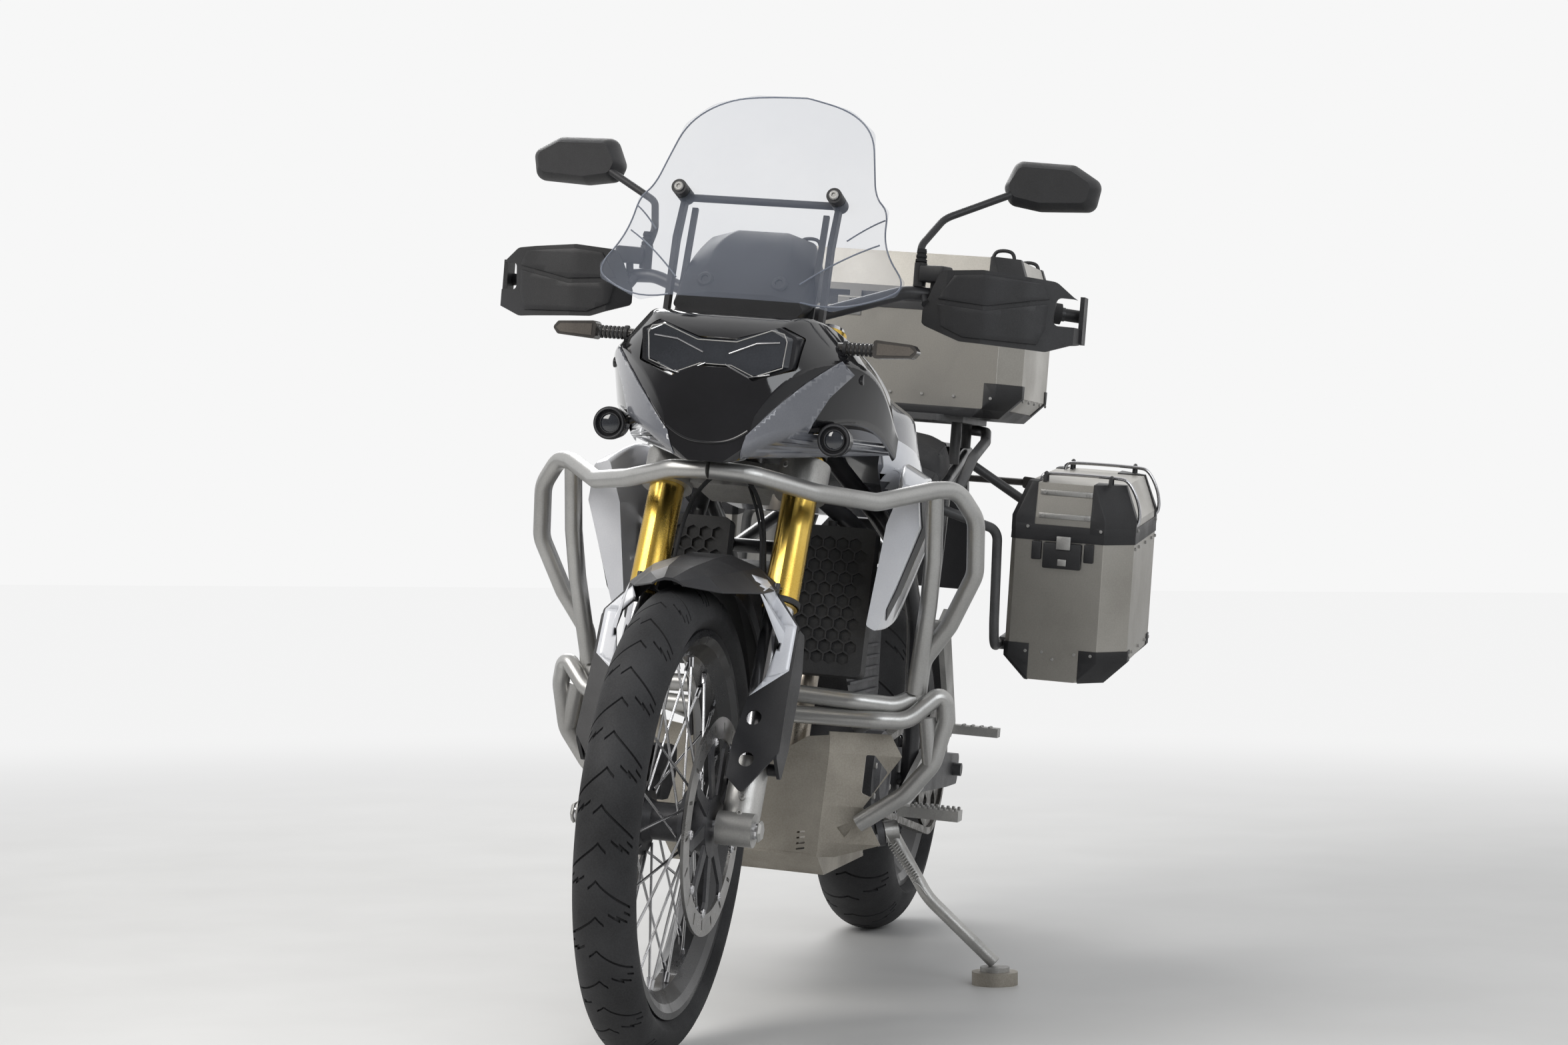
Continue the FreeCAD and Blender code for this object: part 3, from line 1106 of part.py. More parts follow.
def build_luggage():
    split = size.top_case_floor + size.top_case_height
    top = split + size.top_case_lid_height
    plan = (size.top_case_length, size.top_case_width, size.top_case_chamfer, size.top_case_front, 0, 0)
    hinge_z = split + size.lid_gap / 2
    hinge_x = size.top_case_front + size.hinge_place
    solid, room = build_case("top_case", plan, size.top_case_floor, split)
    leaves = hinge_leaves("top_hinge", hinge_x, hinge_z, 0, 90, 1, UPRIGHT, False)
    sub_part("top_case", fused("top_case_upright", [cut("top_case_shell", solid, [room])] + leaves))
    solid, room = build_lid("top_case_lid", plan, split + size.lid_gap, top)
    leaves = hinge_leaves("top_lid_hinge", hinge_x, hinge_z, 0, 90, 1, UPRIGHT, True)
    sub_part("top_case_lid", fused("top_case_lid_upright", [cut("top_case_lid_shell", solid, [room])] + leaves))
    tilt = Placement(Vector(size.pannier_front, 0, size.pannier_floor),
                     Rotation(Vector(0, 1, 0), size.pannier_tilt))
    middle = size.pannier_inner + size.pannier_width / 2
    hinge_x = -size.pannier_length - size.hinge_place
    hinge_z = size.pannier_height + size.lid_gap / 2
    boxes = []
    for side, label in ((1, "left"), (-1, "right")):
        plan = (size.pannier_length, size.pannier_width, size.pannier_chamfer, 0, side * middle, side)
        solid, room = build_case(f"pannier_{label}", plan, 0, size.pannier_height)
        solid.Placement = tilt
        room.Placement = tilt
        leaves = hinge_leaves(f"pannier_{label}_hinge", hinge_x, hinge_z, side * middle, 40, -1, tilt, False)
        boxes.append(fused(f"pannier_{label}_upright", [cut(f"pannier_{label}_shell", solid, [room])] + leaves))
        solid, room = build_lid(f"pannier_{label}_lid", plan, size.pannier_height + size.lid_gap,
                                size.pannier_height + size.pannier_lid_height)
        solid.Placement = tilt
        room.Placement = tilt
        leaves = hinge_leaves(f"pannier_{label}_lid_hinge", hinge_x, hinge_z, side * middle, 40, -1, tilt, True)
        lid_shell = cut(f"pannier_{label}_lid_shell", solid, [room])
        sub_part(f"pannier_{label}_lid", fused(f"pannier_{label}_lid_upright", [lid_shell] + leaves))
    pair = doc.addObject("Part::Compound", "panniers_upright")
    pair.Links = boxes
    sub_part("panniers", pair)


def build_racks(frame):
    """Tubular pannier rails, and the rack plate under the top case."""
    rail = [(-470, 206, 800), (-500, 236, 790), (-500, 243, 620), (-520, 243, 576), (-860, 243, 606),
            (-890, 243, 656), (-880, 243, 830), (-840, 99.4, 917.6)]
    stay = [(-470, 206, 800), (-440, 120, 826)]
    rails = tubes("case_rail_tubes", [rail, stay], size.rack_tube_dia, 45)
    pucks = []
    for x, z in ((-580, 581.3), (-820, 602.5), (-886.6, 715)):
        for side in (1, -1):
            pucks.append(rod("case_puck", (x, side * 243, z), (x, side * (size.pannier_inner - size.fit_gap), z), 24))
    rack = cut("case_rails_upright", fused("case_rails_raw", [rails] + pucks), [frame])
    plate = new_body("rack_plate")
    top = outline([(-560, -100), (-560, 100), (-640, 130), (-900, 130), (-960, 90), (-960, -90), (-900, -130),
                   (-640, -130)], 14)
    low = size.top_case_floor - 12
    grow(plate, "Pad", add_sketch(plate, "XY_Plane", top, low), 12 - size.fit_gap, both=False)
    for x in (-700, -840):
        hole = outline([(x - 40, -70), (x + 40, -70), (x + 40, 70), (x - 40, 70)], 16)
        grow(plate, "Pocket", add_sketch(plate, "XY_Plane", hole, low), 14, both=False, reverse=True)
    grab = tubes("grab_rails", [[(-440, 166, 852), (-520, 176, 918), (-640, 176, 950), (-900, 130, 972),
                                 (-950, 60, 976)]], 20, 50)
    posts = []
    for x, y, z in ((-700, 107.4, 903.7), (-860, 98.3, 936.9)):
        for side in (1, -1):
            posts.append(rod("rack_post", (x, side * y, z), (x, side * y, low + 2), 20))
    return rack, fused("rear_rack_upright", [plate, grab] + posts)


def build_tail():
    """Rear mudguard with the tail lamp at its end."""
    fender = new_body("tail_shell")
    side = outline([(-400, 764), (-400, 770), (-700, 846), (-960, 900), (-1030, 920), (-1042, 918), (-1092, 800),
                    (-1144, 655), (-1138, 652), (-1084, 798), (-1030, 880), (-960, 876), (-700, 832)], 2)
    grow(fender, "Pad", add_sketch(fender, "XZ_Plane", side), 150)
    lamp = new_body("tail_lamp_upright")
    face = outline([(-46, 906), (46, 906), (38, 947), (-38, 947)], 8)
    grow(lamp, "Pad", add_sketch(lamp, "YZ_Plane", face, -1036), 60, both=False)
    posts = []
    for x, low, high in ((-620, 818, 860.6), (-890, 878, 916.6)):
        for y in (40, -40):
            posts.append(rod("fender_post", (x, y, low), (x, y, high), 16))
    return fused("rear_fender_upright", [fender, lamp] + posts)


def build_crash_bars(case):
    upper = [(690, 0, 864), (676, 61, 862), (612, 146, 842), (530, 222, 834), (440, 290, 858), (408, 322, 862),
             (388, 352, 818),
             (370, 354, 733), (350, 316, 649), (338, 276, 590), (328, 270, 520)]
    inner = [(430, 292, 858), (400, 292, 750), (380, 286, 676), (338, 268, 540)]
    cross = [(380, 60, 524), (378, 182, 520), (352, 240, 516), (322, 276, 536)]
    lower = [(380, 60, 490), (376, 219, 493), (356, 262, 494), (326, 312, 545), (322, 318, 500), (322, 302, 428),
             (322, 262, 376), (322, 190, 322)]
    strut = [(326, 288, 500), (322, 300, 424)]
    engine_stay = [(328, 271, 522), (240, 200, 492), (150, 128, 456)]
    bars = [upper, inner, cross, lower, strut, engine_stay]
    return cut("crash_bars_upright", tubes("crash_bar_tubes", bars, size.crash_bar_dia, 50), [case])


def build_skid_plate():
    """Folded sheet under the engine: front panel with swept-back ears, and a tray below."""
    sheet_thick = 5
    body = new_body("skid_plate_front")

    def fold(front, crease, back, reach):
        """Plan of the sheet at one height: straight across to the creases, then back along the ears."""
        return outline([(back, -reach), (front, -crease), (front, crease), (back, reach), (back - sheet_thick, reach - 1),
                        (front - sheet_thick, crease - 2), (front - sheet_thick, -crease + 2),
                        (back - sheet_thick, -reach + 1)])

    loft(body, "XY_Plane", [(262, fold(318, 126, 296, 150)), (287, fold(322, 128, 288, 222)),
                            (317, fold(328, 130, 296, 206)), (347, fold(333, 133, 312, 194)),
                            (432, fold(346, 140, 300, 248)), (466, fold(350, 140, 304, 228))], ruled=True)
    notch = outline([(-78, 438), (78, 438), (104, 455), (138, 460), (138, 500), (-138, 500), (-138, 460), (-104, 455)])
    grow(body, "Pocket", add_sketch(body, "YZ_Plane", notch, 280), 120, both=False, reverse=True)
    for sign in (1, -1):
        hole = outline([(sign * y, z) for y, z in ((194, 432), (208, 432), (228, 406), (204, 364), (190, 370))], 4)
        grow(body, "Pocket", add_sketch(body, "YZ_Plane", hole, 250), 140, both=False, reverse=True)
        for step in range(4):
            low = 270 + 9 * step
            slot = outline([(sign * 92, low), (sign * 106, low + 3), (sign * 106, low + 6), (sign * 92, low + 3)])
            grow(body, "Pocket", add_sketch(body, "YZ_Plane", slot, 280), 80, both=False, reverse=True)
    tray = new_body("skid_plate_tray")
    side = outline([(319, 266), (252, 226), (-50, 226), (-50, 231), (250, 231), (313, 268)])
    grow(tray, "Pad", add_sketch(tray, "XZ_Plane", side), 252)
    wall = outline([(316, 268), (252, 227), (-46, 227), (-46, 262), (230, 272), (292, 296)], 3)
    grow(tray, "Pad", add_sketch(tray, "XZ_Plane", wall, -123.5), sheet_thick)
    grow(tray, "Pad", add_sketch(tray, "XZ_Plane", wall, 123.5), sheet_thick)
    posts = [box("skid_post", (60, y, 230), (84, y + 20, 295.8)) for y in (88, -108)]
    raw = fused("skid_plate_with_posts", [body, tray] + posts)
    bar_room = [rod("bar_room", (322, side_sign * 282, 391), (322, side_sign * 163, 301.8),
                    size.crash_bar_dia + 2 * size.fit_gap) for side_sign in (1, -1)]
    return cut("skid_plate_upright", raw, bar_room)


def build_radiators():
    """Two radiators side by side, each with a honeycomb guard in front."""
    tilt = Placement(Vector(352, 0, 672), Rotation(Vector(0, 1, 0), -10))
    core = new_body("radiator_upright", tilt)
    frame_points = [(52, -118), (186, -118), (186, 118), (52, 118)]
    pad = grow(core, "Pad", add_sketch(core, "YZ_Plane", outline(frame_points, 10), -30), 30, both=False)
    mirrored(core, [pad])
    guard = new_body("radiator_guard_upright", tilt)
    pad = grow(guard, "Pad", add_sketch(guard, "YZ_Plane", outline(frame_points, 10), 0), 5, both=False)
    cells = []
    pitch = size.mesh_pitch
    reach = pitch / 2 - 1.3
    rows = int(214 / (pitch * 0.866))
    for row_index in range(rows):
        z = (row_index - (rows - 1) / 2) * pitch * 0.866
        shift = pitch / 2 if row_index % 2 else 0
        y = 60 + pitch / 2 + shift
        while y + pitch / 2 < 180:
            corners = [(y + reach * math.cos(math.radians(angle)) / 0.866, z + reach * math.sin(math.radians(angle)) / 0.866)
                       for angle in range(30, 390, 60)]
            cells += outline(corners)
            y += pitch
    hole = grow(guard, "Pocket", add_sketch(guard, "YZ_Plane", cells, 0), 8, both=False, reverse=True)
    mirrored(guard, [pad, hole])
    lugs = [rod("radiator_lug", (318, side * 110, 776), (318, side * 110, 796.7), 14) for side in (1, -1)]
    return fused("radiators_with_guards", [core, guard] + lugs)


def build_foot_controls():
    """Rider and passenger pegs on their hangers, with the gear and brake levers."""
    hanger = new_body("foot_hanger")
    side = outline([(-248, 404), (-60, 336), (-40, 312), (-70, 304), (-248, 332)], 8)
    grow(hanger, "Pad", add_sketch(hanger, "XZ_Plane", side, -180), 10)
    peg = box("peg", (-84, 180, 300), (-44, 285, 318))
    stay = new_body("passenger_hanger")
    side = outline([(-222, 652), (-176, 630), (-180, 602), (-330, 416), (-372, 440)], 8)
    grow(stay, "Pad", add_sketch(stay, "XZ_Plane", side, -205), 10)
    peg_rear = box("peg_rear", (-370, 200, 424), (-340, 292, 440))
    mount = rod("hanger_mount", (-235, 173.2, 370), (-235, 182, 370), 24)
    mount_rear = rod("hanger_mount_rear", (-192, 173.4, 620), (-192, 205, 620), 22)
    left = doc.addObject("Part::Compound", "foot_controls_left")
    left.Links = [fused("foot_left", [hanger, peg, mount]), fused("passenger_left", [stay, peg_rear, mount_rear])]
    return both_sides("foot_controls_upright", left)


def floor_point(x, y, z):
    """A point of the parked motorcycle's floor frame, brought into the upright frame."""
    return LEANED.inverse().multVec(Vector(x, y, z))


def stand_axis(pivot, foot):
    """Pivot axis that swings the leg from the floor to a line back along the motorcycle's side."""
    down = (foot - pivot).normalize()
    folded = Vector(-0.99, 0.13, 0.0).normalize()
    across = (down - folded).normalize()
    sideways = Vector(0, 1, 0)
    return (sideways - across * sideways.dot(across)).normalize()


def stand_places():
    foot = floor_point(size.puck_x, size.puck_y, size.puck_thick)
    pivot = Vector(size.stand_pivot_x, size.stand_pivot_y, size.stand_pivot_z)
    return pivot, foot, stand_axis(pivot, foot)


def build_stand():
    pivot, foot, axis = stand_places()
    upwards = floor_point(size.puck_x, size.puck_y, size.puck_thick + 1) - foot
    ankle = foot + upwards * 14
    knee = pivot + (ankle - pivot) * 0.45 + Vector(0, -16, -14)
    leg = tube_shape([tuple(pivot), tuple(knee), tuple(ankle)], size.stand_leg_dia, 120)
    boss = Part.makeCylinder(19, 24, pivot - axis * 12, axis)
    pad = Part.makeCylinder(25, 8, foot, upwards)
    bore = Part.makeCylinder(size.stand_pin_dia / 2 + size.running_gap, 90, pivot - axis * 45, axis)
    stand = as_feature("side_stand_upright", weld([leg, boss, pad]).cut(bore))
    low = floor_point(size.puck_x, size.puck_y, 0)
    puck = as_feature("stand_puck_upright", Part.makeCylinder(size.puck_dia / 2, size.puck_thick, low, upwards))
    return stand, puck


def build_stand_mount(engine):
    """Bracket and pin that carry the side stand."""
    pivot, foot, axis = stand_places()
    back = pivot - axis * 26
    plate = Part.makeCylinder(24, 12, back, axis)
    pin = Part.makeCylinder(size.stand_pin_dia / 2, 42, back, axis)
    arm = tube_shape([tuple(back - axis * 2), tuple(back - axis * 2 + Vector(14, -26, 40))], 24)
    bracket = as_feature("stand_bracket", weld([plate, pin, arm]))
    return cut("stand_mount_upright", bracket, [engine])


def build_rear_axle():
    axle = new_body("rear_axle_upright", REAR_WHEEL)
    grow(axle, "Pad", circle_sketch(axle, "XZ_Plane", (0, 0), "rear_axle_dia"), 2 * (size.swingarm_inner + 44))
    return axle


def build_rear_caliper():
    body = new_body("rear_caliper_block", REAR_WHEEL)
    shape = outline([(70, 60), (128, 46), (150, 90), (120, 140), (80, 120)], 10)
    place = -size.rear_disc_place
    grow(body, "Pad", add_sketch(body, "XZ_Plane", shape, place), 36)
    room = circle_sketch(body, "XZ_Plane", (0, 0), size.rear_disc_dia + 12, place)
    grow(body, "Pocket", room, 15.5)
    arm_face = -size.swingarm_inner + size.fit_gap
    bracket = box("caliper_bracket", (74, arm_face, 12), (112, arm_face + 11.5, 72), REAR_WHEEL)
    return fused("rear_caliper_with_bracket", [body, bracket])


def build_all():
    build_front_wheel()
    build_rear_wheel()
    feet = build_fork()
    sub_part("front_calipers", build_front_calipers(feet))
    sub_part("front_fender", build_front_fender())
    build_handlebar()
    build_handguards()
    build_mirrors()
    frame, nose_bar = build_frame()
    sub_part("main_frame", frame)
    case, covers = build_engine()
    sub_part("engine_block", fused("engine_upright", [case, build_stand_mount(case)]))
    sub_part("engine_covers", covers)
    sub_part("exhaust", build_exhaust(case))
    sub_part("swingarm", fused("swingarm_with_axle", [build_swingarm(), build_rear_axle()]))
    sub_part("chain", chain_loop("chain_upright"))
    tank = build_tank()
    sub_part("fuel_tank", tank)
    sub_part("side_panels", build_side_panels(tank))
    nose, nose_solid = build_nose(nose_bar)
    sub_part("nose_fairing", nose)
    housing, lens, fogs = build_lamps(nose_solid)
    sub_part("headlamp", housing)
    sub_part("headlamp_lens", lens)
    sub_part("fog_lamps", fogs)
    screen = build_screen()
    sub_part("windscreen", screen)
    sub_part("screen_bracket", build_screen_bracket(screen, nose_solid))
    sub_part("dash", build_dash())
    sub_part("turn_signals", build_signals(nose_solid))
    sub_part("seats", build_seats())
    build_luggage()
    rails, rack = build_racks(frame)
    sub_part("case_rails", rails)
    sub_part("rear_rack", rack)
    sub_part("rear_fender", build_tail())
    sub_part("crash_bars", build_crash_bars(case))
    sub_part("skid_plate", build_skid_plate())
    sub_part("radiators", build_radiators())
    sub_part("foot_controls", build_foot_controls())
    stand, puck = build_stand()
    sub_part("side_stand", stand)
    sub_part("stand_puck", puck)
    sub_part("rear_caliper", build_rear_caliper())


def check_and_write():
    doc.recompute()
    failed = [thing.Name for thing in doc.Objects if "Invalid" in thing.State or "Error" in thing.State]
    for piece in sub_parts:
        if piece.Shape.isNull() or not piece.Shape.isValid() or not piece.Shape.Solids:
            failed.append(piece.Label)
    if failed:
        raise RuntimeError("failed: " + ", ".join(failed))
    for piece in sub_parts:
        piece.Shape.exportStep(os.path.join("parts", piece.Label + ".step"))
        print(piece.Label, len(piece.Shape.Solids), round(piece.Shape.Volume / 1000, 1))


build_all()
check_and_write()
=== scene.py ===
"""Looks of the parked adventure motorcycle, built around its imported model."""
import json
from math import atan2, cos, degrees, floor, hypot, pi, radians, sin
import bmesh
import bpy
from mathutils import Matrix, Vector
from mathutils.bvhtree import BVHTree


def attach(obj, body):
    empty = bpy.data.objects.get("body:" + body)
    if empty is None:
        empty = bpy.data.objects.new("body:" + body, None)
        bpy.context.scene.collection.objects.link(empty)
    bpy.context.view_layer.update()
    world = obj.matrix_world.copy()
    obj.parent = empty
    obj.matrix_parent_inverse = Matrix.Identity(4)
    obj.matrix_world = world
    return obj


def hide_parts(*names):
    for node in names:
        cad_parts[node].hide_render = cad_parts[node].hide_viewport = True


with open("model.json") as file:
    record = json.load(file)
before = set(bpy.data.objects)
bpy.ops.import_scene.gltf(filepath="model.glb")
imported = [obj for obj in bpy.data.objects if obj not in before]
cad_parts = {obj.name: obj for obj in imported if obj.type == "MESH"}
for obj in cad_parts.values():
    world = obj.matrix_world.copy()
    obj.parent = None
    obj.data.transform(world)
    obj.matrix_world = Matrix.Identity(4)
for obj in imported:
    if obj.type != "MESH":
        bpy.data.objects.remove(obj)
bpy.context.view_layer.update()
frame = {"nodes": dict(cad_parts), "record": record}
scene = bpy.context.scene
scene.view_settings.view_transform = "Standard"

# The motorcycle's sizes and frames, as the source has them, in millimetres
MILLIMETRES = 0.001
LEAN = radians(4.65)
RAKE = radians(24.4)
CASE_TILT = radians(5)
WHEELBASE = 1551
FRONT_RADIUS = 347.7
REAR_RADIUS = 320.9
REAR_CROWN = 75
FRONT_BEAD = 269
REAR_BEAD = 218.5
SPOKES = 36
FORK_LEG = 105
ORIGIN_SHIFT = Vector((10.16, -75.27, REAR_CROWN * (1 - cos(LEAN))))
PARKED = (Matrix.Scale(MILLIMETRES, 4) @ Matrix.Translation(ORIGIN_SHIFT)
          @ Matrix.Rotation(-LEAN, 4, "X"))
TO_UPRIGHT = PARKED.inverted()
FRONT_WHEEL = PARKED @ Matrix.Translation((WHEELBASE / 2, 0, FRONT_RADIUS))
REAR_WHEEL = PARKED @ Matrix.Translation((-WHEELBASE / 2, 0, REAR_RADIUS))
FORK = FRONT_WHEEL @ Matrix.Rotation(-RAKE, 4, "Y")
PANNIER = PARKED @ Matrix.Translation((-533, 0, 522)) @ Matrix.Rotation(CASE_TILT, 4, "Y")
PANNIER_ENDS = ((0, 1), (-395, -1))
TOP_CASE_ENDS = ((-575, 1), (-955, -1))
FORWARD = Vector((1, 0, 0))
BACKWARD = Vector((-1, 0, 0))


# Materials

def new_material(name):
    material = bpy.data.materials.new(name)
    material.use_nodes = True
    return material, material.node_tree, material.node_tree.nodes["Principled BSDF"]


def feed(tree, target, inputs):
    """Each named input gets another node's output, or a plain value."""
    for name, value in inputs.items():
        if isinstance(value, bpy.types.NodeSocket):
            tree.links.new(value, target.inputs[name])
        else:
            target.inputs[name].default_value = value


def node(tree, kind, inputs=None, **settings):
    """A shader node of a kind, with its settings and what its inputs get."""
    made = tree.nodes.new("ShaderNode" + kind)
    for name, value in settings.items():
        setattr(made, name, value)
    feed(tree, made, inputs or {})
    return made


def node_group(name, inputs, outputs):
    """A node group with named inputs and outputs, its inner sources and its end."""
    tree = bpy.data.node_groups.new(name, "ShaderNodeTree")
    for label, kind, value in inputs:
        tree.interface.new_socket(label, in_out="INPUT", socket_type=kind).default_value = value
    for label, kind in outputs:
        tree.interface.new_socket(label, in_out="OUTPUT", socket_type=kind)
    return tree, tree.nodes.new("NodeGroupInput").outputs, tree.nodes.new("NodeGroupOutput")


def uneven_colour_group():
    """A colour that drifts between two shades in soft patches, with fine specks."""
    tree, given, result = node_group(
        "Uneven colour",
        [("Light", "NodeSocketColor", (1, 1, 1, 1)), ("Dark", "NodeSocketColor", (0, 0, 0, 1)),
         ("Patch scale", "NodeSocketFloat", 12.0), ("Speck scale", "NodeSocketFloat", 400.0)],
        [("Color", "NodeSocketColor"), ("Mask", "NodeSocketFloat")])
    place = node(tree, "TexCoord").outputs["Object"]
    patches = node(tree, "TexNoise", {"Vector": place, "Scale": given["Patch scale"], "Detail": 4.0})
    specks = node(tree, "TexNoise", {"Vector": place, "Scale": given["Speck scale"], "Detail": 2.0})
    blend = node(tree, "Math", {0: specks.outputs["Fac"], 1: 0.35, 2: patches.outputs["Fac"]},
                 operation="MULTIPLY_ADD")
    mask = node(tree, "MapRange",
                {"Value": blend.outputs[0], "From Min": 0.45, "From Max": 0.9}).outputs["Result"]
    mix = node(tree, "Mix", data_type="RGBA")
    feed(tree, mix, {"Factor": mask, "A": given["Dark"], "B": given["Light"]})
    feed(tree, result, {"Color": mix.outputs["Result"], "Mask": mask})
    return tree


def grain_group():
    """Fine bumps: a noise height turned into a normal."""
    tree, given, result = node_group(
        "Surface grain",
        [("Scale", "NodeSocketFloat", 900.0), ("Strength", "NodeSocketFloat", 0.2),
         ("Stretch", "NodeSocketVector", (1, 1, 1))],
        [("Normal", "NodeSocketVector"), ("Height", "NodeSocketFloat")])
    place = node(tree, "TexCoord").outputs["Object"]
    stretch = node(tree, "VectorMath", {0: place, 1: given["Stretch"]}, operation="MULTIPLY")
    height = node(tree, "TexNoise", {"Vector": stretch.outputs[0], "Scale": given["Scale"],
                                               "Detail": 3.0}).outputs["Fac"]
    bump = node(tree, "Bump", {"Strength": given["Strength"], "Distance": 0.0006, "Height": height})
    feed(tree, result, {"Normal": bump.outputs["Normal"], "Height": height})
    return tree


UNEVEN = uneven_colour_group()
GRAIN = grain_group()


def finish_material(name, light, dark, rough, metallic=0.0, patch=12.0, grain=900.0, bump=0.15,
                    stretch=(1, 1, 1), coat=0.0, specular=0.5):
    """A finish with drifting colour and roughness and a fine bump."""
    material, tree, shader = new_material(name)
    colour = node(tree, "Group", node_tree=UNEVEN)
    feed(tree, colour, {"Light": (*light, 1), "Dark": (*dark, 1), "Patch scale": patch})
    roughness = node(tree, "MapRange",
                     {"Value": colour.outputs["Mask"], "To Min": rough[1], "To Max": rough[0]})
    surface = node(tree, "Group", node_tree=GRAIN)
    feed(tree, surface, {"Scale": grain, "Strength": bump, "Stretch": stretch})
    feed(tree, shader, {"Base Color": colour.outputs["Color"], "Roughness": roughness.outputs["Result"],
                        "Normal": surface.outputs["Normal"], "Metallic": metallic,
                        "Specular IOR Level": specular, "Coat Weight": coat, "Coat Roughness": 0.06})
    return material


def clear_material(name, tint, alpha):
    """Clear plastic sheet: mostly see-through, with gloss, and dustier in patches."""
    material, tree, shader = new_material(name)
    colour = node(tree, "Group", node_tree=UNEVEN)
    dark = [part * 0.92 for part in tint]
    feed(tree, colour, {"Light": (*tint, 1), "Dark": (*dark, 1), "Patch scale": 6.0})
    opacity = node(tree, "MapRange",
                   {"Value": colour.outputs["Mask"], "To Min": alpha, "To Max": alpha * 1.35})
    feed(tree, shader, {"Base Color": colour.outputs["Color"], "Alpha": opacity.outputs["Result"],
                        "Roughness": 0.04})
    return material


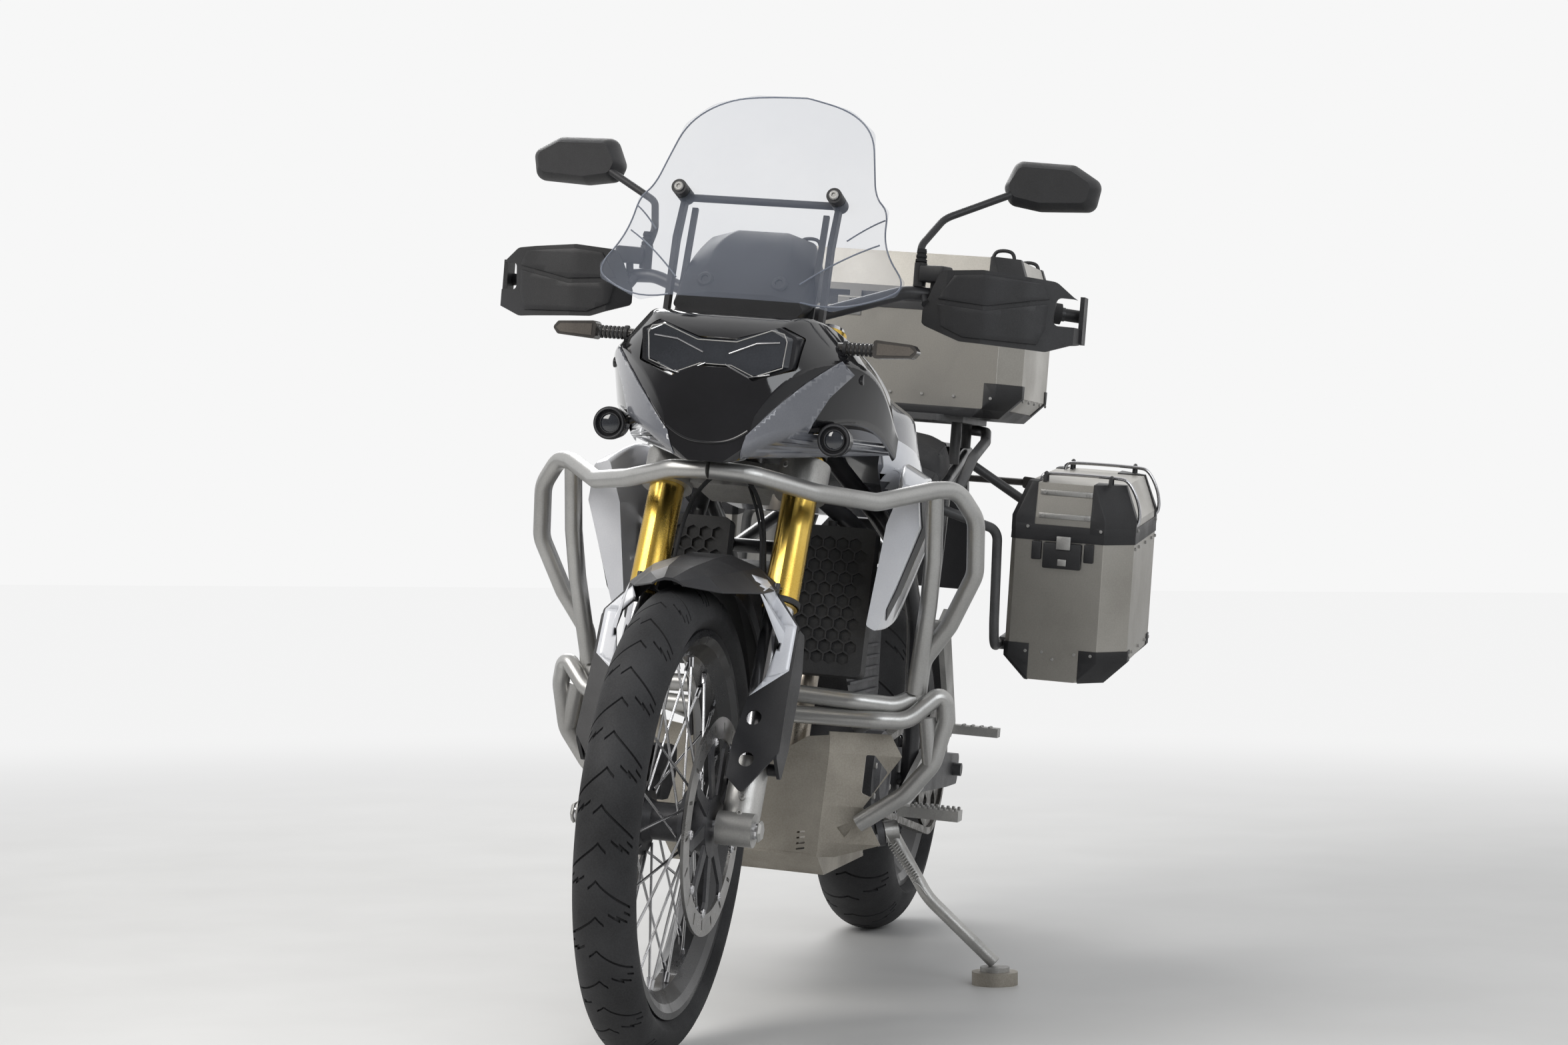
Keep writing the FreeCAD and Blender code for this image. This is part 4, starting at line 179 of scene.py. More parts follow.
# Each finish: its name, light and dark shade, roughness of its smooth and dull patches, and the rest
FINISHES = {
    "tyre_rubber": ("Tyre rubber", (0.032, 0.032, 0.034), (0.016, 0.016, 0.017), (0.62, 0.85),
        {"patch": 9, "grain": 1400, "bump": 0.35, "specular": 0.35}),
    "rim_black": ("Black rim", (0.018, 0.018, 0.020), (0.008, 0.008, 0.009), (0.22, 0.42), {"coat": 0.3}),
    "hub_black": ("Black hub", (0.07, 0.07, 0.075), (0.03, 0.03, 0.033), (0.32, 0.5), {"metallic": 0.3}),
    "disc_steel": ("Brake disc steel", (0.52, 0.51, 0.50), (0.36, 0.355, 0.35), (0.24, 0.42),
        {"metallic": 1.0, "patch": 20, "grain": 700, "bump": 0.25}),
    "gold_anodised": ("Gold fork tube", (0.78, 0.55, 0.14), (0.60, 0.39, 0.07), (0.18, 0.32),
        {"metallic": 1.0, "patch": 10, "grain": 1500, "bump": 0.05}),
    "chrome_tube": ("Polished tube", (0.72, 0.72, 0.74), (0.55, 0.55, 0.57), (0.10, 0.22),
        {"metallic": 1.0, "bump": 0.03}),
    "cast_silver": ("Cast aluminium", (0.50, 0.495, 0.48), (0.33, 0.325, 0.315), (0.34, 0.55),
        {"metallic": 0.85, "patch": 16, "grain": 650, "bump": 0.35}),
    "cast_black": ("Black coated casting", (0.055, 0.055, 0.058), (0.022, 0.022, 0.024), (0.34, 0.55),
        {"patch": 14, "grain": 700, "bump": 0.3}),
    "caliper_black": ("Caliper black", (0.05, 0.05, 0.052), (0.022, 0.022, 0.024), (0.3, 0.5), {}),
    "fender_black": ("Mudguard plastic", (0.026, 0.026, 0.029), (0.013, 0.013, 0.015), (0.34, 0.5),
        {"grain": 1100, "bump": 0.2}),
    "bar_black": ("Black handlebar", (0.04, 0.04, 0.043), (0.018, 0.018, 0.02), (0.3, 0.46), {}),
    "grip_rubber": ("Grip rubber", (0.03, 0.03, 0.031), (0.015, 0.015, 0.016), (0.7, 0.9),
        {"grain": 800, "bump": 0.5, "specular": 0.3}),
    "guard_black": ("Black moulded plastic", (0.020, 0.020, 0.022), (0.010, 0.010, 0.011), (0.4, 0.58),
        {"grain": 1200, "bump": 0.3}),
    "frame_black": ("Frame paint", (0.035, 0.035, 0.037), (0.016, 0.016, 0.018), (0.24, 0.42),
        {"coat": 0.2}),
    "engine_grey": ("Engine casting", (0.10, 0.10, 0.105), (0.05, 0.05, 0.053), (0.42, 0.62),
        {"metallic": 0.35, "patch": 15, "grain": 600, "bump": 0.45}),
    "exhaust_steel": ("Exhaust steel", (0.50, 0.46, 0.40), (0.30, 0.26, 0.22), (0.22, 0.42),
        {"metallic": 1.0, "patch": 8, "bump": 0.08}),
    "chain_steel": ("Oiled chain", (0.26, 0.25, 0.235), (0.09, 0.085, 0.08), (0.3, 0.55),
        {"metallic": 0.9, "patch": 60, "bump": 0.3}),
    "tank_grey": ("Grey tank paint", (0.17, 0.175, 0.195), (0.13, 0.135, 0.152), (0.14, 0.22),
        {"coat": 0.8, "bump": 0.02}),
    "panel_white": ("White paint", (0.74, 0.75, 0.78), (0.64, 0.65, 0.69), (0.12, 0.22),
        {"coat": 0.8, "bump": 0.02}),
    "nose_black": ("Gloss black panel", (0.012, 0.012, 0.014), (0.006, 0.006, 0.007), (0.05, 0.11),
        {"coat": 0.7, "bump": 0.03}),
    "lamp_body": ("Lamp housing", (0.03, 0.03, 0.033), (0.014, 0.014, 0.016), (0.16, 0.3), {}),
    "lens_clear": ("Smoked lamp lens", (0.035, 0.038, 0.045), (0.018, 0.02, 0.024), (0.03, 0.07),
        {"coat": 1.0, "bump": 0.0}),
    "seat_cover": ("Seat cover", (0.026, 0.026, 0.028), (0.014, 0.014, 0.015), (0.5, 0.7),
        {"grain": 1000, "bump": 0.6}),
    "case_aluminium": ("Case aluminium", (0.50, 0.485, 0.45), (0.37, 0.355, 0.325), (0.30, 0.46),
        {"metallic": 1.0, "patch": 7, "grain": 1200, "bump": 0.12, "stretch": (1, 1, 0.08)}),
    "rack_steel": ("Rack tube", (0.09, 0.09, 0.09), (0.045, 0.045, 0.047), (0.3, 0.5), {}),
    "spoke_steel": ("Spoke wire", (0.62, 0.62, 0.63), (0.44, 0.44, 0.45), (0.16, 0.3),
        {"metallic": 1.0, "patch": 25, "bump": 0.04}),
    "bar_silver": ("Silver crash bar", (0.50, 0.50, 0.49), (0.38, 0.375, 0.365), (0.30, 0.44),
        {"metallic": 0.85, "patch": 8, "grain": 900, "bump": 0.08}),
    "plate_aluminium": ("Worn plate", (0.42, 0.39, 0.34), (0.25, 0.23, 0.195), (0.44, 0.62),
        {"metallic": 0.7, "patch": 10, "grain": 300, "bump": 0.3, "stretch": (0.2, 1, 1)}),
    "radiator_black": ("Radiator black", (0.025, 0.025, 0.026), (0.010, 0.010, 0.011), (0.5, 0.7), {}),
    "signal_smoke": ("Smoked lens", (0.07, 0.065, 0.06), (0.035, 0.032, 0.03), (0.08, 0.16),
        {"coat": 0.5, "bump": 0.02}),
    "screen_edge": ("Screen edge", (0.16, 0.18, 0.22), (0.10, 0.11, 0.14), (0.1, 0.2), {}),
    "signal_glass": ("Smoked signal lens", (0.13, 0.115, 0.10), (0.07, 0.062, 0.055), (0.05, 0.12),
        {"coat": 0.8}),
    "tail_red": ("Red lens", (0.32, 0.012, 0.01), (0.20, 0.006, 0.006), (0.06, 0.12), {"coat": 0.8}),
    "lamp_glass": ("Lamp pod glass", (0.30, 0.33, 0.38), (0.10, 0.11, 0.13), (0.05, 0.12),
        {"metallic": 0.7, "patch": 60, "bump": 0.02, "coat": 1.0}),
}
MATERIALS = {key: finish_material(*finish[:4], **finish[4]) for key, finish in FINISHES.items()}
MATERIALS["screen_clear"] = clear_material("Windscreen sheet", (0.30, 0.33, 0.40), 0.12)
SLOT_OF_NODE = {part["node"]: part["material_slot"] for part in frame["record"]["subparts"]}
for name, thing in frame["nodes"].items():
    thing.data.materials.clear()
    thing.data.materials.append(MATERIALS[SLOT_OF_NODE[name]])


# Tools for the pieces

def put_on(piece, body):
    """A piece joins the scene and rides on a body."""
    scene.collection.objects.link(piece)
    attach(piece, body)
    return piece


def finish(mesh, name, slot, body="root", place=PARKED, smooth=35, more=(), closed=True):
    """A worked mesh becomes a piece that rides on a body, with its place in its mesh."""
    bmesh.ops.transform(mesh, matrix=place, verts=mesh.verts)
    bmesh.ops.remove_doubles(mesh, verts=mesh.verts, dist=0.000002)
    if closed:
        bmesh.ops.recalc_face_normals(mesh, faces=mesh.faces)
    data = bpy.data.meshes.new(name)
    mesh.to_mesh(data)
    mesh.free()
    data.shade_smooth()
    data.set_sharp_from_angle(angle=radians(smooth))
    for key in (slot, *more):
        data.materials.append(MATERIALS[key])
    return put_on(bpy.data.objects.new(name, data), body)


def tubing(name, slot, routes, dia, body="root", place=PARKED, smooth=True):
    """Round tube, hose or wire along routes; a smooth one rounds its corners."""
    data = bpy.data.curves.new(name, "CURVE")
    data.dimensions = "3D"
    data.bevel_depth = dia / 2 * MILLIMETRES
    data.bevel_resolution = 3
    data.use_fill_caps = True
    data.resolution_u = 5
    for route in routes:
        spline = data.splines.new("NURBS" if smooth else "POLY")
        spline.points.add(len(route) - 1)
        for point, target in zip(spline.points, route):
            point.co = (*(place @ Vector(target)), 1)
        if smooth:
            spline.order_u = 3
            spline.use_endpoint_u = True
    data.materials.append(MATERIALS[slot])
    return put_on(bpy.data.objects.new(name, data), body)


def thicken(piece, wall, bevel=0.4):
    """A sheet gets its wall outwards, with softened edges."""
    shell = piece.modifiers.new("wall", "SOLIDIFY")
    shell.thickness = wall * MILLIMETRES
    shell.offset = 1
    if bevel:
        edge = piece.modifiers.new("edges", "BEVEL")
        edge.width = bevel * MILLIMETRES
        edge.segments = 2
        edge.limit_method = "ANGLE"
        edge.angle_limit = radians(50)


def aimed(place, along):
    """Where a turned fastener stands: its foot at a place, its axis along a direction."""
    return Matrix.Translation(place) @ Vector(along).to_track_quat("Z", "Y").to_matrix().to_4x4()


def along_axis(axis, length=1):
    """A vector along one axis."""
    made = Vector((0, 0, 0))
    made[axis] = length
    return made


def everything(mesh):
    return mesh.verts[:] + mesh.edges[:] + mesh.faces[:]


def pour(part, whole):
    """Add one working mesh to another and free it."""
    data = bpy.data.meshes.new("part")
    part.to_mesh(data)
    part.free()
    whole.from_mesh(data)
    bpy.data.meshes.remove(data)


def inset(mesh, face, width, depth=0):
    """Inset one face, raised or sunk by a depth; the new ring of faces is given back."""
    return bmesh.ops.inset_region(mesh, faces=[face], thickness=width, depth=depth)["faces"]


def round_edges(mesh, edges, width, segments):
    return bmesh.ops.bevel(mesh, geom=edges, affect="EDGES", offset=width, offset_type="OFFSET",
                           segments=segments, profile=0.5, material=-1)["faces"]


def add_cone(mesh, sides, low, high, depth, capped=True):
    """A round piece about the z axis, with its low and high radius; its points are given back."""
    return bmesh.ops.create_cone(mesh, cap_ends=capped, segments=sides, radius1=low, radius2=high,
                                 depth=depth)["verts"]


def edges_of(verts):
    """Each edge at these points once, in order."""
    return list(dict.fromkeys(edge for vert in verts for edge in vert.link_edges))


def add_plate(mesh, corners, outward):
    """A flat face through these corners that looks outward."""
    face = mesh.faces.new([mesh.verts.new(corner) for corner in corners])
    face.normal_update()
    if face.normal.dot(outward) < 0:
        face.normal_flip()
    return face


def add_block(mesh, low, high, bevel=1.5, turned=None):
    """A block with rounded edges between two corners."""
    low, high = Vector(low), Vector(high)
    verts = bmesh.ops.create_cube(mesh, size=1)["verts"]
    bmesh.ops.scale(mesh, vec=high - low, verts=verts)
    bmesh.ops.translate(mesh, vec=(low + high) / 2, verts=verts)
    if turned is not None:
        bmesh.ops.transform(mesh, matrix=turned, verts=verts)
    round_edges(mesh, edges_of(verts), bevel, 2)


def top_face(verts):
    """The highest face at these points."""
    faces = [face for vert in verts for face in vert.link_faces]
    return max(faces, key=lambda face: face.calc_center_median().z)


def add_bolt(mesh, place, along, dia, height, sides=12, socket=True):
    """A bolt head with a rounded rim, and a socket or a plain dome."""
    made = add_cone(mesh, sides, dia / 2, dia / 2, height)
    rounded = round_edges(mesh, top_face(made).edges[:], dia * 0.1, 1)
    own = [vert for face in rounded for vert in face.verts] + [vert for vert in made if vert.is_valid]
    top = top_face(own)
    if socket:
        for width, depth in ((0.16, 0), (0.04, -height * 0.5)):
            own += [vert for face in inset(mesh, top, dia * width, depth) for vert in face.verts]
    own = [vert for vert in dict.fromkeys(own + top.verts[:]) if vert.is_valid]
    bmesh.ops.translate(mesh, vec=(0, 0, height / 2), verts=own)
    bmesh.ops.transform(mesh, matrix=aimed(place, along), verts=own)


def add_rivet(mesh, place, along, height=3.4):
    add_bolt(mesh, place, along, 6, height, sides=10, socket=False)


def add_pin(mesh, start, end, dia, sides=12):
    """A plain pin between two points."""
    start = Vector(start)
    along = Vector(end) - start
    verts = add_cone(mesh, sides, dia / 2, dia / 2, along.length)
    bmesh.ops.translate(mesh, vec=(0, 0, along.length / 2), verts=verts)
    bmesh.ops.transform(mesh, matrix=aimed(start, along), verts=verts)


def add_mirrored(mesh):
    """The same again on the other side of the middle plane."""
    made = bmesh.ops.duplicate(mesh, geom=everything(mesh))["geom"]
    verts = [item for item in made if isinstance(item, bmesh.types.BMVert)]
    faces = [item for item in made if isinstance(item, bmesh.types.BMFace)]
    bmesh.ops.scale(mesh, vec=(1, -1, 1), verts=verts)
    bmesh.ops.reverse_faces(mesh, faces=faces)


def node_copy(name, place=PARKED):
    """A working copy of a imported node's mesh, in the millimetres of a frame."""
    mesh = bmesh.new()
    mesh.from_mesh(frame["nodes"][name].data)
    bmesh.ops.transform(mesh, matrix=place.inverted(), verts=mesh.verts)
    bmesh.ops.remove_doubles(mesh, verts=mesh.verts, dist=0.002)
    return mesh


def surface_of(name, place=PARKED):
    """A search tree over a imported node, in the millimetres of a frame."""
    copy = node_copy(name, place)
    tree = BVHTree.FromBMesh(copy)
    copy.free()
    return tree


def lay(tree, points, axis, side=1, lift=0.6):
    """Points put on a surface along an axis, a little above it."""
    direction = along_axis(axis, -side)
    laid = []
    for point in points:
        spot = tree.ray_cast(Vector(point) - direction * 2500, direction)[0]
        if spot is None:
            spot = tree.find_nearest(Vector(point))[0]
        laid.append(spot - direction * lift)
    return laid


def add_skin(mesh, tree, outline, axis, side=1, cell=12, lift=0.4, start=2500):
    """A sheet of this outline, drawn in the plane across the axis, cut into cells and laid on a surface."""
    sheet = bmesh.new()
    across = [index for index in range(3) if index != axis]
    corners = [sheet.verts.new(along_axis(across[0], first) + along_axis(across[1], second))
               for first, second in outline]
    sheet.faces.new(corners)
    for index in across:
        values = [corner.co[index] for corner in corners]
        cut_at = min(values) + cell
        top = max(values)
        while cut_at < top - 0.2 * cell:
            bmesh.ops.bisect_plane(sheet, geom=everything(sheet), plane_co=along_axis(index, cut_at),
                                   plane_no=along_axis(index))
            cut_at += cell
    direction = along_axis(axis, -side)
    for vert in sheet.verts:
        spot = tree.ray_cast(vert.co - direction * start, direction)[0]
        if spot is None:
            near = vert.co.copy()
            near[axis] = side * min(start, 400)
            spot = tree.find_nearest(near)[0]
        vert.co = spot - direction * lift
    for face in sheet.faces:
        face.normal_update()
        if face.normal.dot(direction) > 0:
            face.normal_flip()
    pour(sheet, mesh)


def skin_piece(name, slot, tree, outlines, axis, wall, bevel, body="root", place=PARKED, mirrored=True,
               **how):
    """A piece of thin sheets that lie on a surface."""
    mesh = bmesh.new()
    for outline in outlines:
        add_skin(mesh, tree, outline, axis, **how)
    if mirrored:
        add_mirrored(mesh)
    thicken(finish(mesh, name, slot, body, place, closed=False), wall, bevel)


def lens_pair(name, slot, x, outline, outward, steps, body="root", smooth=60):
    """A flat glass on each side of the middle plane, with a stepped edge."""
    mesh = bmesh.new()
    for side in (1, -1):
        face = add_plate(mesh, [(x, y * side, z) for y, z in outline], outward)
        for width, depth in steps:
            inset(mesh, face, width, depth)
    finish(mesh, name, slot, body, smooth=smooth, closed=False)


def both_sides(route):
    """A route and the same on the other side of the middle plane."""
    return [[(x, y * side, z) for x, y, z in route] for side in (1, -1)]


def add_patch(mesh, node_name, place, low, high, middle):
    """The outer skin of a node inside a box; the middle is a point inside the node."""
    patch = node_copy(node_name, place)
    for axis in range(3):
        for end, outward in ((max(low[axis], high[axis]), 1), (min(low[axis], high[axis]), -1)):
            bmesh.ops.bisect_plane(patch, geom=everything(patch), plane_co=along_axis(axis, end),
                                   plane_no=along_axis(axis, outward), clear_outer=True)
    inner = [face for face in patch.faces if face.normal.dot(face.calc_center_median() - Vector(middle)) < 8]
    bmesh.ops.delete(patch, geom=inner, context="FACES")
    pour(patch, mesh)


# Tyres

# Where tread is cut: step round the tyre within one pair of blocks, and the rows across it
TREAD_ROWS = 24
TREAD_STEPS = 24
GROOVES = {0: (-9, 2), 12: (-2, 9)}
SIPES = {5: (3, 6), 6: (5, 8), 17: (-6, -3), 18: (-8, -5), 9: (7, 9), 21: (-9, -7)}
TREAD_SKEW = 0.135


def tyre_section(radius, half, bead, neck):
    """Half-round crown, bellied side walls and open bead, as a list of (across, out) points."""
    shoulder = radius - half
    lip_top = bead + 15
    belly = Vector((half * 0.93, (lip_top + shoulder * 2) / 3))
    start, end = Vector((neck, lip_top)), Vector((half, shoulder))
    control = belly * 2 - (start + end) / 2
    side = []
    for step in range(5):
        share = step / 5
        side.append(start * (1 - share) ** 2 + control * 2 * share * (1 - share) + end * share ** 2)
    crown = []
    for row in range(TREAD_ROWS + 1):
        angle = radians(90 - 180 * row / TREAD_ROWS)
        crown.append(Vector((half * sin(angle), shoulder + half * cos(angle))))
    low = bead + 0.2
    other_side = [Vector((-spot.x, spot.y)) for spot in reversed(side)]
    return [Vector((neck, low))] + side + crown + other_side + [Vector((-neck, low))]


def is_cut(face, shoulder, steps):
    """True for a face of the crown that lies in a groove or a sipe."""
    centre = face.calc_center_median()
    reach = hypot(centre.x, centre.z)
    if reach < shoulder:
        return False
    row = floor(degrees(atan2(centre.y, reach - shoulder)) / (180 / TREAD_ROWS) + 0.001)
    turn = atan2(centre.z, centre.x) % (2 * pi)
    step = int(turn / (2 * pi) * steps) % TREAD_STEPS
    return any(step in table and table[step][0] <= row < table[step][1] for table in (GROOVES, SIPES))


def build_tyre(name, node_name, body, place, radius, width, bead, rim_width, pairs, depth):
    """A tyre with pointed grooves and short sipes, cut into a spun section."""
    half = width / 2
    shoulder = radius - half
    mesh = bmesh.new()
    section = tyre_section(radius, half, bead, rim_width / 2 - 0.6)
    ring = [mesh.verts.new((spot.y, spot.x, 0)) for spot in section]
    edges = [mesh.edges.new((one, two)) for one, two in zip(ring, ring[1:] + ring[:1])]
    steps = pairs * TREAD_STEPS
    bmesh.ops.spin(mesh, geom=ring + edges, cent=(0, 0, 0), axis=(0, -1, 0), angle=2 * pi, steps=steps,
                   use_merge=True)
    bmesh.ops.remove_doubles(mesh, verts=mesh.verts, dist=0.001)
    bmesh.ops.recalc_face_normals(mesh, faces=mesh.faces)
    chosen = [face for face in mesh.faces if is_cut(face, shoulder, steps)]
    for vert in mesh.verts:
        reach = hypot(vert.co.x, vert.co.z)
        lateral = 90
        if reach > shoulder:
            lateral = degrees(atan2(abs(vert.co.y), max(reach - shoulder, 0.001)))
        vert.co = Matrix.Rotation(TREAD_SKEW * (lateral / 75) ** 0.85, 3, "Y") @ vert.co
    bmesh.ops.inset_region(mesh, faces=chosen, thickness=0.5, depth=-depth)
    piece = finish(mesh, name, "tyre_rubber", body, place, smooth=28)
    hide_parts(node_name)


# Seats

SEAT_SPLIT = -399


def swell(piece, pressure, cap):
    """Blow a closed cover up like a cushion, with no point moved further than the cap, in metres."""
    before = [vert.co.copy() for vert in piece.data.vertices]
    cloth = piece.modifiers.new("Cloth", "CLOTH")
    cloth.settings.quality = 5
    cloth.settings.use_pressure = True
    cloth.settings.uniform_pressure_force = pressure
    cloth.settings.effector_weights.gravity = 0
    cloth.collision_settings.use_collision = False
    cloth.collision_settings.use_self_collision = False
    for moment in range(1, 21):
        scene.frame_set(moment)
    swollen = bpy.data.meshes.new_from_object(piece.evaluated_get(bpy.context.evaluated_depsgraph_get()))
    after = [vert.co.copy() for vert in swollen.vertices]
    piece.modifiers.remove(cloth)
    bpy.data.meshes.remove(swollen)
    for vert, old, new in zip(piece.data.vertices, before, after):
        move = new - old
        if move.length > cap:
            move = move.normalized() * cap
        vert.co = old + move
    scene.frame_set(1)


def build_seat(name, behind, seam):
    """A padded seat: the solid drawn in a little, remeshed, blown up, and its seams laid on."""
    mesh = node_copy("seats")
    other_seat = [vert for vert in mesh.verts if (vert.co.x < SEAT_SPLIT) != behind]
    bmesh.ops.delete(mesh, geom=other_seat, context="VERTS")
    bmesh.ops.recalc_face_normals(mesh, faces=mesh.faces)
    for vert in mesh.verts:
        vert.normal_update()
    moves = [(vert, vert.normal * -4) for vert in mesh.verts]
    for vert, move in moves:
        vert.co += move
    piece = finish(mesh, name, "seat_cover", smooth=60)
    remesh = piece.modifiers.new("Remesh", "REMESH")
    remesh.mode = "VOXEL"
    remesh.voxel_size = 0.006
    solid = bpy.data.meshes.new_from_object(piece.evaluated_get(bpy.context.evaluated_depsgraph_get()))
    piece.modifiers.remove(remesh)
    piece.data = solid
    swell(piece, 4.0, 0.007)
    solid.shade_smooth()
    round_off = piece.modifiers.new("Subdivision", "SUBSURF")
    round_off.levels = 1
    round_off.render_levels = 1
    tree = BVHTree.FromObject(piece, bpy.context.evaluated_depsgraph_get())
    routes = []
    for side in (1, -1):
        spots = [tree.find_nearest(PARKED @ Vector((x, y * side, z)))[0] for x, y, z in seam]
        routes.append([TO_UPRIGHT @ spot for spot in spots])
    tubing(name + "_seams", "seat_cover", routes, 3.2)
    return piece


def build_seats():
    """The rider's and the pillion's seat, in place of the solid ones."""
    rider = [(-142, 80, 900), (-180, 104, 884), (-220, 122, 874), (-280, 138, 872), (-340, 150, 874),
             (-390, 146, 896)]
    pillion = [(-408, 138, 922), (-440, 138, 932), (-480, 136, 944), (-520, 126, 948), (-554, 116, 948)]
    for seat in (build_seat("rider_seat", False, rider), build_seat("pillion_seat", True, pillion)):
        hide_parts("seats")


# Nose and lamp

def build_nose():
    """Grey panels on the nose's sides, and the lip under the lamp."""
    tree = surface_of("nose_fairing")
    panel = [(50, 884), (60, 918), (98, 963), (132, 1001), (172, 1040), (186, 1022), (160, 984), (140, 938),
             (122, 914), (80, 892)]
    skin_piece("nose_side_panels", "tank_grey", tree, [panel], 0, 1.6, 0.6, cell=6, lift=0.9)
    lip = [(0, y, z) for y, z in ((-62, 925), (-40, 908), (0, 903), (40, 908), (62, 925))]
    tubing("nose_lip", "nose_black", [lay(tree, lip, 0)], 4)


def build_lamp():
    """Two lamp pods behind the smoked lens, each with its bright line, and the silver rim round the lens."""
    pod = [(-94, 1056), (-61, 1052), (-22, 1035), (-17, 1022), (-52, 1006), (-84, 1012)]
    bowls = bmesh.new()
    face = add_plate(bowls, [(704.3, y, z) for y, z in pod], FORWARD)
    for ring in inset(bowls, face, 2.2, 1.2):
        ring.material_index = 1
    inset(bowls, face, 3, -2.4)
    inset(bowls, face, 7, 1.4)
    face.material_index = 2
    add_mirrored(bowls)
    finish(bowls, "lamp_pods", "lamp_body", smooth=20, closed=False,
           more=("chrome_tube", "lamp_glass"))
    upper = both_sides([(704.9, -96, 1058), (704.9, -61, 1054.5), (704.9, -20, 1037)])
    lower = both_sides([(704.9, -84, 1010), (704.9, -52, 1003.5), (704.9, -15, 1021)])
    tubing("lamp_lines", "chrome_tube", upper + lower, 2.4, smooth=False)
    top = [(-101, 1071), (-82, 1075), (-30, 1055), (30, 1055), (82, 1075)]
    low = [(101, 1071), (106, 1060), (102, 1021), (60, 1005), (24, 1020)]
    rim = top + low + [(-y, z) for y, z in reversed(low)]
    tubing("lamp_rim", "cast_silver", [[(704, y, z) for y, z in rim]], 1.8, smooth=False)


# Side cases and top case

def case_covers(name, body, node_name, place, boxes, middle):
    """Black covers over the corners and seam of a case, cut from its own skin."""
    mesh = bmesh.new()
    for low, high in boxes:
        add_patch(mesh, node_name, place, low, high, middle)
    thicken(finish(mesh, name, "guard_black", body, place, closed=False, smooth=30), 1.8, 0.5)


def build_pannier_covers(side, label):
    """Corners and seam bands of one side case and its lid."""
    lower = []
    for outer, inner in (((-78, 1), (-66, 1)), ((-396, -317), (-396, -329))):
        lower.append(((outer[0], side * 398, -1), (outer[1], side * 481, 60)))
        lower.append(((inner[0], side * 259, -1), (inner[1], side * 306, 66)))
    lower.append(((-396, side * 259, 257), (1, side * 481, 272.5)))
    case_covers("pannier_" + label + "_covers", "root", "panniers", PANNIER, lower, (-197, side * 370, 140))
    upper = []
    for outer, inner in (((-74, 1), (-56, 1)), ((-396, -321), (-396, -339))):
        upper.append(((outer[0], side * 404, 272), (outer[1], side * 481, 363)))
        upper.append(((inner[0], side * 259, 272), (inner[1], side * 302, 363)))
    upper.append(((-396, side * 259, 272), (1, side * 481, 286)))
    case_covers("lid_" + label + "_covers", label + "_lid", "pannier_" + label + "_lid", PANNIER, upper,
                (-197, side * 370, 300))


def build_pannier_latches(side, label):
    """Latch and its metal clip on each end of one side case."""
    latch = bmesh.new()
    clip = bmesh.new()
    for end, out in PANNIER_ENDS:
        add_block(latch, (end - 1, side * 322, 208), (end + 13 * out, side * 392, 255), 2.5)
        for inner, outer in ((300, 318), (396, 414)):
            add_block(latch, (end - 1, side * inner, 222), (end + 8 * out, side * outer, 256), 2)
        add_block(clip, (end + 12 * out, side * 346, 244), (end + 16 * out, side * 372, 268), 1)
        add_block(clip, (end + 12 * out, side * 350, 214), (end + 15 * out, side * 366, 226), 1)
    finish(latch, "pannier_" + label + "_latches", "guard_black", "root", PANNIER)
    finish(clip, "pannier_" + label + "_clips", "cast_silver", "root", PANNIER)


def build_pannier_bars(side, label):
    """Two flat bars with their bolts on each end of one lid."""
    bars = bmesh.new()
    for end, out in PANNIER_ENDS:
        for level, inward in ((303, 1.5), (345, 9.5)):
            back = end - (inward + 3) * out
            face = end + (4 - inward) * out
            add_block(bars, (back, side * 308, level - 5), (face, side * 404, level + 5), 1.6)
            for foot in (316, 396):
                add_bolt(bars, (face, side * foot, level), (out, 0, 0), 7, 3, socket=False)
    finish(bars, "lid_" + label + "_bars", "cast_silver", label + "_lid", PANNIER)


def build_pannier_rivets(side, label):
    """Rivets of one side case and its lid."""
    case = bmesh.new()
    lid = bmesh.new()
    for end, out in PANNIER_ENDS:
        for across, level in ((350, 40), (420, 52), (300, 52), (330, 52), (390, 52)):
            add_rivet(case, (end + 0.2 * out, side * across, level), (out, 0, 0))
        for across in (424, 290):
            add_rivet(lid, (end + 1.6 * out, side * across, 281), (out, 0, 0), 3)
    for x in (-60, -110, -200, -290, -340):
        for level in (52, 248):
            add_rivet(case, (x, side * 480, level), (0, side, 0))
    for x in (-70, -325):
        add_rivet(lid, (x, side * 481.5, 281), (0, side, 0), 3)
    finish(case, "pannier_" + label + "_rivets", "cast_silver", "root", PANNIER)
    finish(lid, "lid_" + label + "_rivets", "cast_silver", label + "_lid", PANNIER)


def build_pannier_rails(side, label):
    """Lashing loops on the corners of one lid, and the bright rails over it."""
    loop = [(-13, 360), (-13, 374), (0, 379), (13, 374), (13, 360)]
    loops = [[(x + along, side * y, level) for along, level in loop] for x in (-36, -359) for y in (312, 432)]
    tubing("lid_" + label + "_loops", "guard_black", loops, 7, label + "_lid", PANNIER)
    rail = [(300, 360), (300, 372), (316, 376), (440, 376), (462, 372), (484, 330), (486, 292), (478, 290)]
    rails = [[(x, side * across, level) for across, level in rail] for x in (-58, -337)]
    tubing("lid_" + label + "_rails", "chrome_tube", rails, 6.5, label + "_lid", PANNIER)


def build_pannier_trim():
    for side, label in ((1, "left"), (-1, "right")):
        build_pannier_covers(side, label)
        build_pannier_latches(side, label)
        build_pannier_bars(side, label)
        build_pannier_rivets(side, label)
        build_pannier_rails(side, label)


